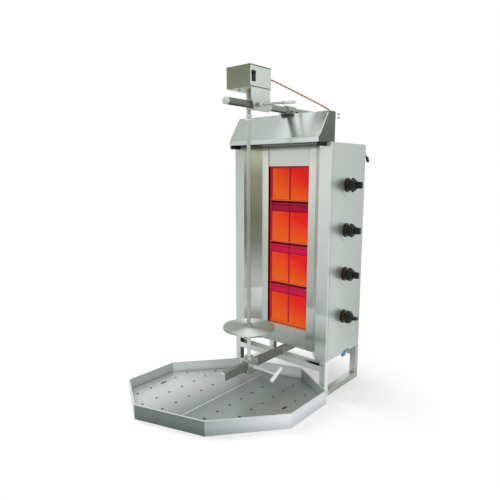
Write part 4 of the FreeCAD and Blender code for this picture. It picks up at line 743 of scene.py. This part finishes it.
def bead(start, end, radius, ripple=2.2, count=10):
    """A weld from start to end: a rod whose radius, in millimetres, swells once for each ripple's length.

    The radius at a place is radius * (0.85 + 0.15 * |sin(pi * place / ripple)|), and it falls away at both
    ends.
    """
    run = np.asarray(end) - np.asarray(start)
    length = np.linalg.norm(run) * 1000
    place = np.linspace(0, length, max(8, int(length / ripple * 2)))
    swell = (0.85 + 0.15 * np.abs(np.sin(math.pi * place / ripple))) * radius
    swell = swell * np.sqrt(np.clip(np.minimum(place, length - place) / radius, 0.04, 1))
    return turned(np.stack([place, swell], 1), start, unit(run), count)


def nut(centre, axis, size=3.0, turn=0.2):
    """Washer, hexagon nut and the rounded end of its bolt, for a thread of that radius in millimetres."""
    washer = [(0, 2.15), (0.3, 2.15), (0.4, 2.05)]
    body = [(0.4, 1.62), (0.58, 1.86, 1), (1.75, 1.86, 1), (1.93, 1.62)]
    end = [(1.9, 1.0), (2.6, 1.0), (2.95, 0.7)]
    return [turned(rows, centre, axis, turn=turn, size=size) for rows in (washer, body, end)]


def screw(centre, axis, size=3.5, turn=0.4):
    """Button head of that radius in millimetres with a hexagon socket."""
    head = [(0, 0.96), (0.2, 1.0), (0.42, 0.9), (0.6, 0.68), (0.64, 0.52), (0.6, 0.46, 1), (0.24, 0.44, 1)]
    return [turned(head, centre, axis, turn=turn, size=size)]


def fixed(name, kind, centres, axis, size, finish="screw", body="cabinet"):
    """One piece of nuts or screws, the same at every centre."""
    make_piece(name, [one for centre in centres for one in kind(spot(*centre), axis, size)], finish, body)


def rising(degrees):
    """The direction to the back that rises by that angle."""
    angle = math.radians(degrees)
    return BEHIND * math.cos(angle) + UP * math.sin(angle)


# Materials already made, by name
FINISHES = {}


class GRILL_OT_camera(Operator):
    """Camera at the grill's right front, slightly above its middle"""

    bl_idname = "grill.camera"
    bl_label = "Camera"

    def execute(self, context):
        sizes = context.scene.grill_camera
        lens = bpy.data.cameras.new("Camera")
        lens.lens = sizes.lens
        camera = added("Camera", lens)
        camera.location = sizes.place
        camera.rotation_euler = (math.pi / 2 - sizes.tilt, 0, sizes.turn)
        context.scene.camera = camera
        return {"FINISHED"}


class GRILL_OT_stage(Operator):
    """Pale floor, surrounding light, two soft lamps and the cards that the steel mirrors"""

    bl_idname = "grill.stage"
    bl_label = "Floor and Light"

    def execute(self, context):
        sizes = context.scene.grill_stage
        corners = [(sizes.floor * one, sizes.floor * other, 0) for one, other in SQUARE]
        self.flat("floor", corners, floor_finish(sizes.sky))
        self.surroundings(context, sizes)
        self.lamp("key_lamp", spot(-2200, -500, 2300), spot(0, -100, 500), 2.2, sizes.key)
        self.lamp("fill_lamp", spot(2400, -1600, 2200), spot(0, 0, 500), 2.4, sizes.fill)
        self.card("back_wall_card", spot(1950, -2450, 1150), spot(0, 0, 1150), 1.6, 1.9, "59594A")
        self.card("left_front_card", spot(-1300, -1700, 1850), spot(0, 0, 1850), 1.5, 1.0, "9A9C90")
        self.card("left_card", spot(-1700, 500, 260), spot(0, -200, 260), 2.0, 0.5, "565F5C")
        self.card("glint_card", spot(900, 150, 2600), spot(235, 130, 600), 1.2, 0.35, "FFFFFF", 4.0)
        context.scene.view_settings.view_transform = "Standard"
        return {"FINISHED"}

    def flat(self, name, points, finish):
        mesh = bpy.data.meshes.new(name)
        mesh.from_pydata([tuple(point) for point in points], [], [(0, 1, 2, 3)])
        mesh.materials.append(finish)
        made = added(name, mesh)
        return made

    def card(self, name, middle, faces, width, height, code, strength=1.0):
        """A card that turns towards a point and that only reflections see."""
        out = unit(faces - middle)
        across = unit(np.cross(UP, out))
        rise = np.cross(out, across)
        corners = [middle + across * one * width / 2 + rise * other * height / 2 for one, other in SQUARE]
        card = self.flat(name, corners, card_finish(name, code, strength))
        for ray in ("camera", "diffuse", "shadow", "transmission"):
            setattr(card, "visible_" + ray, False)

    def surroundings(self, context, sizes):
        """White to the camera and to mirrors, softer to matt surfaces."""
        world = bpy.data.worlds.new("Studio")
        context.scene.world = world
        world.use_nodes = True
        graph = Graph(world.node_tree)
        soft = graph.node("Background", {"Color": "FFFFFF", "Strength": sizes.sky})
        white = graph.node("Background", {"Color": "FFFFFF", "Strength": 1.0})
        chosen = graph.node("MixShader", {0: graph.seen_rays(), 1: soft, 2: white})
        graph.node("OutputWorld", {"Surface": chosen})

    def lamp(self, name, place, target, width, power):
        """A round soft lamp. Polished steel mirrors the cards and the surroundings, not the lamps."""
        light = bpy.data.lights.new(name, "AREA")
        light.shape = "DISK"
        light.size = width
        light.energy = power
        made = added(name, light)
        made.location = place
        aim = target - place
        made.rotation_euler = (math.atan2(math.hypot(aim[0], aim[1]), -aim[2]), 0,
                               math.atan2(aim[1], aim[0]) - math.pi / 2)
        made.visible_glossy = False


class GRILL_OT_steel(Operator):
    """Materials on every part of the frame, cabinet, hood, arms, spit and tray"""

    bl_idname = "grill.steel"
    bl_label = "Steel and Small Parts"

    WEARERS = {
        "panel": "left_side_panel right_side_panel",
        "back": "back_panel top_panel",
        "fascia": "top_fascia lower_fascia",
        "column": "left_column right_column",
        "hood": "hood_shell",
        "shaded": "hood_baffle",
        "tray": "drip_tray",
        "plate": "left_drip_plate right_drip_plate",
        "frame": "legs arm_post",
        "rail": "base_rails",
        "beam": "lower_arm",
        "crossbar": "front_crossbar rear_crossbar",
        "box": "motor_box",
        "cover": "motor_box_covers",
        "bracket": "motor_bracket",
        "bright": "t_handle foot_bush gas_tap arm_sleeve lower_carriage knob_stem_1 knob_stem_2 knob_stem_3 "
                  "knob_stem_4",
        "lever": "clamp_lever",
        "arm": "upper_arm arm_saddle",
        "rod": "spit_rod drive_shaft coupling_sleeve",
        "disc": "meat_disc",
        "plaque": "ceramic_plaques",
        "housing": "burner_1 burner_2 burner_3 burner_4",
        "brass": "gas_manifold gas_valves supply_tubes",
        "motor": "gear_motor",
        "knob": "knob_1 knob_2 knob_3 knob_4",
        "black": "power_rocker knob_bezels switch_frame cable_glands",
        "rubber": "hood_end_blocks",
        "white": "arm_plugs sleeve_bush",
        "blue": "gas_tap_lever",
        "cable": "motor_cable",
    }

    def execute(self, context):
        FINISHES.update(make_finishes())
        left = set(frame["nodes"])
        for name, nodes in self.WEARERS.items():
            for node in nodes.split():
                mesh = frame["nodes"][node].data
                mesh.materials.clear()
                mesh.materials.append(FINISHES[name])
                left.discard(node)
        if left:
            raise RuntimeError("no finish for " + ", ".join(sorted(left)))
        return {"FINISHED"}


class GRILL_OT_cable(Operator):
    """Twisted cable from the motor box down to its gland behind the hood"""

    bl_idname = "grill.cable"
    bl_label = "Motor Cable"

    # The route's points, as the solid's: out of the box, over the hood, down to the gland
    ROUTE = [(46, -127, 1213.5), (46, -111, 1213.5), (51.6, -96.5, 1209.6), (184, 42, 1121.2),
             (190.5, 63, 1108.2), (193, 75, 1088.2), (194, 79, 1060.2), (194, 79, 1012.2)]
    LENGTH = 0.3668

    def execute(self, context):
        sizes = context.scene.grill_cable
        line = self.line([spot(*point) for point in self.ROUTE])
        cable = self.twisted(line, sizes.diameter / 2, sizes.pitch)
        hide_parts("motor_cable")
        return {"FINISHED"}

    def line(self, points):
        """Points along one smooth NURBS spline through the route's control points."""
        curve = bpy.data.curves.new("cable_line", "CURVE")
        curve.dimensions = "3D"
        curve.resolution_u = 24
        spline = curve.splines.new("NURBS")
        spline.points.add(len(points) - 1)
        places = np.c_[np.array(points), np.ones(len(points))]
        spline.points.foreach_set("co", places.astype(np.float32).ravel())
        spline.order_u = 3
        spline.use_endpoint_u = True
        carrier = bpy.data.objects.new("cable_line", curve)
        mesh = bpy.data.meshes.new_from_object(carrier)
        found = np.zeros(len(mesh.vertices) * 3)
        mesh.vertices.foreach_get("co", found)
        bpy.data.objects.remove(carrier)
        bpy.data.curves.remove(curve)
        bpy.data.meshes.remove(mesh)
        return found.reshape(-1, 3)

    def twisted(self, line, radius, pitch, count=16):
        """A tube round the line whose section is two touching strands that turn as they go.

        A point at angle a and length s lies radius * (0.87 + 0.13 * cos(2 * (a - 2 pi s / pitch))) from the
        line. The angle is counted from the direction that is square to the line and to X.
        """
        steps = np.linalg.norm(np.diff(line, axis=0), axis=1)
        length = np.concatenate([[0], np.cumsum(steps)])
        fine = np.linspace(0, length[-1], 220)
        path = np.stack([np.interp(fine, length, line[:, axis]) for axis in range(3)], 1)
        ahead = unit(np.gradient(path, axis=0))
        first = unit(np.cross(ahead, RIGHT))
        second = np.cross(ahead, first)
        angle = around(count)
        turn = angle[None, :] - fine[:, None] / pitch * 2 * math.pi
        reach = radius * (0.87 + 0.13 * np.cos(2 * turn))
        cable = make_piece("motor_cable_twist", [shell(ringed(path, reach, angle, first, second))], "cable",
                           "cabinet")
        layer = cable.data.uv_layers.new(name="along")
        corner = np.zeros(len(cable.data.loops), int)
        cable.data.loops.foreach_get("vertex_index", corner)
        spread = np.stack([fine[corner // count] / pitch, corner % count / count], 1)
        layer.data.foreach_set("uv", spread.astype(np.float32).ravel())
        return cable


class GRILL_OT_knobs(Operator):
    """Lobed knobs with a grip bar, and the dial arc beside each on the panel"""

    bl_idname = "grill.knobs"
    bl_label = "Knobs and Dials"

    START, DEPTH = 244, 130

    def execute(self, context):
        sizes = context.scene.grill_knob
        arcs = []
        for row, height in enumerate(ROWS):
            name = "knob_%d" % (row + 1)
            centre = spot(self.START, self.DEPTH, height)
            # The lowest knob's bar is level, the others stand upright
            shells = [self.knob(centre, sizes, 0.0 if row else math.pi / 2)]
            knob = make_piece(name + "_lobed", shells, "knob", name)
            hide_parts(name)
            arcs.append(self.arc(spot(PANEL_SIDE, self.DEPTH, height), sizes.dial))
        make_piece("dial_arcs", arcs, "ink", "cabinet")
        return {"FINISHED"}

    def knob(self, centre, sizes, turn, count=96):
        """A bore for the stem, a recess, a lobed skirt and a cone that runs out into a bar.

        A ring at a place along the knob has the radius round * (1 - lobe * (0.5 - 0.5 * cos(lobes * angle)))
        blended with that of the bar's end view, a superellipse:
        (|sin / half height|^5 + |cos / half width|^5)^-1/5.
        """
        wide = sizes.radius * 1000
        profile = [
            # Place, round radius, and where they aren't 0, 0 and 1, lobe, bar and the bar's scale
            (18.3, 4.3), (6, 4.3), (6, 15.5), (0, 15.5), (0, 17.6), (0.5, 18), (7.4, 18), (8.3, 19.5, 0.4),
            (9.3, wide - 2.6, 0.8), (10.2, wide - 0.6, 1), (11.2, wide, 1), (14.5, wide - 0.2, 1),
            (17, wide - 1.2, 0.95), (20, wide - 2.6, 0.8), (23.5, wide - 4.8, 0.55), (26.5, wide - 7.6, 0.25),
            (29, wide - 10.4), (30.6, wide - 12.2), (31.4, wide - 13.1), (32.0, wide - 14.3, 0, 0.5, 1.04),
            (32.6, 13.4, 0, 1, 1.04), (34, 13, 0, 1), (43, 13, 0, 1, 0.97), (51.5, 13, 0, 1, 0.92),
            (53.2, 13, 0, 1, 0.89), (53.9, 13, 0, 1, 0.84)]
        rings = np.array([row + (0, 0, 1)[len(row) - 2:] for row in profile])
        angle = around(count)
        lobed = 1 - 0.15 * rings[:, 2:3] * (0.5 - 0.5 * np.cos(sizes.lobes * angle)) ** 0.8
        tall, thin = sizes.grip * 500, sizes.width * 500
        power = 5.0
        up, across = np.abs(np.sin(angle - turn) / tall), np.abs(np.cos(angle - turn) / thin)
        bar = (up ** power + across ** power) ** (-1 / power)
        radius = (rings[:, 1:2] * lobed * (1 - rings[:, 3:4]) + bar * rings[:, 3:4] * rings[:, 4:5]) / 1000
        centres = centre + rings[:, :1] / 1000 * RIGHT
        return shell(ringed(centres, radius, angle, BEHIND, UP))

    def arc(self, centre, radius, steps=28):
        """A thin mark on the panel, from 182 to 260 degrees round the knob, widening as it goes.

        Its section is a strip 0.25 mm proud whose width grows from 0.6 to 2 mm along the arc.
        """
        share = np.linspace(0, 1, steps)
        angle = np.radians(182 + 78 * share)
        half = (0.3 + 0.7 * share) / 1000
        out = np.stack([np.zeros(steps), np.cos(angle), np.sin(angle)], 1)
        inner, outer = (radius - half)[:, None], (radius + half)[:, None]
        bevel, proud = 0.0001, RIGHT * 0.00025
        corners = [out * (inner + bevel) + proud, out * (outer - bevel) + proud, out * outer, out * inner]
        return shell(centre + np.stack(corners, 1))


class GRILL_OT_fittings(Operator):
    """Nuts, screws, bushes, welds and the ribs of the ceramic plaques"""

    bl_idname = "grill.fittings"
    bl_label = "Small Fittings"

    def execute(self, context):
        self.motor_box()
        self.arms()
        self.cabinet()
        self.frame()
        self.plaques()
        return {"FINISHED"}

    def motor_box(self):
        under = 1173
        places = [(side, depth, under) for side, depth in ((-12, -222), (30, -222), (-34, -150), (30, -146))]
        fixed("bracket_nuts", nut, places, DOWN, 2.6, "screw", "upper_carriage")
        bush = [(-3.8, 9.6), (-4.2, 10.2), (-4.2, 11.0), (-3.6, 11.6), (0, 11.6), (0, 9.6)]
        make_piece("shaft_bush", [turned(bush, spot(0, SPIT_DEPTH, under), UP, 32, closed=True)], "brass",
                   "upper_carriage")
        front, back, edge_side, corner_side = -239.4, -128.6, 54.0, 55.5
        blob = ((-1, 0.5), (-0.6, 1), (0.6, 1), (1, 0.5))
        lines = []
        for way, (height, size) in product((1, -1), ((1246.9, 2.9), (1178.4, 1.6))):
            lines += [turned(blob, spot(way * (corner_side - size), depth, height), RIGHT, 16, size=size)
                      for depth in (front, back)]
            ends = [spot(way * edge_side, depth, height) for depth in (front, back)]
            lines.append(bead(*ends, 1.5, SMOOTH))
        make_piece("cover_edges", lines, "dark_screw", "upper_carriage")

    def arms(self):
        # Dark nuts, dark as painted shade under the arm
        fixed("saddle_nuts", nut, product((6.5, 53.5), (5, 41), (1109,)), UP, 2.6, "dark_screw")
        fixed("post_nuts", nut, product((11, 49), (223, 261), (997.2,)), UP, 2.4)
        handle = spot(0, -167, 124)
        cone = [(14, 9), (15, 9.4), (19, 9.2), (24, 7.4), (44, 5.4), (58, 4.6), (60, 4.1)]
        sleeve = [(62, 4.6), (62.4, 5.0), (115.4, 5.0), (116, 4.6)]
        half = [(32, 8.1), (34, 7.7), (35.8, 6.6), (37.2, 4.6), (38, 2.2)]
        grip = [(-place, radius) for place, radius in half[::-1]] + half
        shells = [turned(cone, handle, RIGHT, 32), turned(sleeve, handle, RIGHT),
                  turned(grip, spot(123, -167, 124), rising(29), 32)]
        make_piece("handle_grip", shells, "bright_edge", "handle")
        hub = spot(67.6, -195, 1119)
        make_piece("clamp_screw", screw(hub, RIGHT, 6.6), "bright_edge", "clamp")
        hole = [(1.4, 3.3), (4.3, 3.3), (4.5, 3.0)]
        make_piece("clamp_hole", [turned(hole, hub, RIGHT)], "black", "clamp")
        taper = [(5, 3.9), (6, 5.2), (20, 5.0), (60, 4.4), (110, 4.4), (125, 5.0), (131, 5.8), (133, 5.8)]
        make_piece("lever_sleeve", [turned(taper, spot(62.1, -195, 1119), rising(8.6))], "screw", "clamp")
        ring = [(-3, 9.8), (-3, 10.6), (-2, 11.9), (0, 12.6), (2, 11.9), (3, 10.6), (3, 9.8)]
        rings = [turned(ring, spot(0, SPIT_DEPTH, height), UP, 32, closed=True) for height in (1071, 1087)]
        make_piece("coupling_rings", rings, "bright_edge", "coupling")

    def cabinet(self):
        bolts, caps = [], []
        for height in (1087, 1100):
            centre = spot(207, 67, height)
            bolts += nut(centre, BEHIND, 2.2)
            bolts.append(turned([(4, 2.2), (24, 2.2), (24.6, 1.8)], centre, BEHIND, 16))
            caps.append(turned([(24, 2.9), (24.4, 3.1), (29.6, 3.1), (30.2, 2.4)], centre, BEHIND, 16))
        make_piece("hood_bolts", bolts, "bright_edge", "cabinet")
        make_piece("hood_bolt_caps", caps, "black", "cabinet")
        back = (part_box("back_panel")[1][1] - CABINET_FRONT) * 1000
        edges = [(side, back, height) for side, height in product((-224, 0, 224), (160, 570, 981))
                 if side or height != 570]
        fixed("back_screws", screw, edges, BEHIND, 3.6)
        fixed("top_screws", screw, product((-226, 226), (12, 258), (994.2,)), UP, 3.6)
        dome = [(0, 7.8), (1.2, 8.0), (3.6, 6.8), (5.2, 4.4), (5.9, 1.6)]
        make_piece("front_stud", [turned(dome, spot(223, 0, 140), AHEAD)], "screw", "cabinet")
        edge = bead(spot(217.2, 9, 1106), spot(217.2, -53.6, 1011.5), 1.5, SMOOTH)
        make_piece("hood_edge", [edge], "bright_edge", "cabinet")

    def frame(self):
        welds = [bead(spot(side, depth, 25), spot(side + 23, depth, 25), 2.0)
                 for side, depth in product((-234, 211), (25, 245))]
        make_piece("leg_welds", welds, "weld", "cabinet")
        # The tray's corners about its middle, each moved back by the skew times its side
        welds, skew, inward = [], 0.312, 1.6
        for (across, behind), sign in product(((138, 287), (330, 115), (330, -115), (138, -287)), (1, -1)):
            corner = np.array((across * sign, behind * sign + skew * across * sign))
            foot = TRAY_MIDDLE + corner * (1 - inward / math.hypot(*corner))
            welds.append(bead(spot(*foot, 3), spot(*foot, 47), 1.3, 3.0))
        make_piece("tray_welds", welds, "bright_edge", "tray")
        side = TRAY_MIDDLE[0] - 10
        # The fold's bead in pale steel, a painted highlight along the fold
        fold = bead(spot(side, -520, 12.2), spot(side, 5, 12.2), 1.9, SMOOTH)
        make_piece("plate_fold", [fold], "bright_edge", "left_plate")

    def plaques(self):
        """Fine level ribs on every plaque, each 0.1 + 0.25 * (1 + cos(2 pi * height / 4.2)) mm proud."""
        face = (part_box("ceramic_plaques")[0][1] - CABINET_FRONT) * 1000
        up = np.linspace(-63.2, 63.2, 241)
        section = np.zeros((len(up), 4, 3))
        section[:, :, 0] = 43.6 * np.array((-1, 1, 1, -1))
        section[:, :2, 1] = -0.1 - 0.25 * (1 + np.cos(2 * math.pi * up / 4.2))[:, None]
        section[:, 2:, 1] = 0.2
        section[:, :, 2] = up[:, None]
        shells = [shell(spot(side, face, height) + section / 1000)
                  for height, side in product(ROWS, (-49, 49))]
        make_piece("plaque_ribs", shells, "plaque", "cabinet")


class GRILL_PT_panel(Panel):
    """Sizes, colours and pieces of the grill"""

    bl_label = "Doner Grill"
    bl_idname = "GRILL_PT_panel"
    bl_space_type = "VIEW_3D"
    bl_region_type = "UI"
    bl_category = "Doner Grill"

    def draw(self, context):
        for name, kind in SETTINGS.items():
            box = self.layout.box()
            for field in kind.__annotations__:
                box.prop(getattr(context.scene, name), field)
        for piece in PIECES:
            self.layout.operator(piece.bl_idname)


SETTINGS = {
    "grill_camera": CameraSizes,
    "grill_steel": SteelColours,
    "grill_heat": HeatColours,
    "grill_cable": CableSizes,
    "grill_knob": KnobSizes,
    "grill_stage": StageSizes,
}
PIECES = [GRILL_OT_camera, GRILL_OT_stage, GRILL_OT_steel, GRILL_OT_cable, GRILL_OT_knobs, GRILL_OT_fittings]
CLASSES = [*SETTINGS.values(), *PIECES, GRILL_PT_panel]


def register():
    for kind in CLASSES:
        bpy.utils.register_class(kind)
    for name, kind in SETTINGS.items():
        setattr(bpy.types.Scene, name, PointerProperty(type=kind))


def unregister():
    for name in SETTINGS:
        delattr(bpy.types.Scene, name)
    for kind in reversed(CLASSES):
        bpy.utils.unregister_class(kind)


def main():
    register()
    for piece in PIECES:
        group, name = piece.bl_idname.split(".")
        getattr(getattr(bpy.ops, group), name)()


if __name__ == "__main__":
    main()
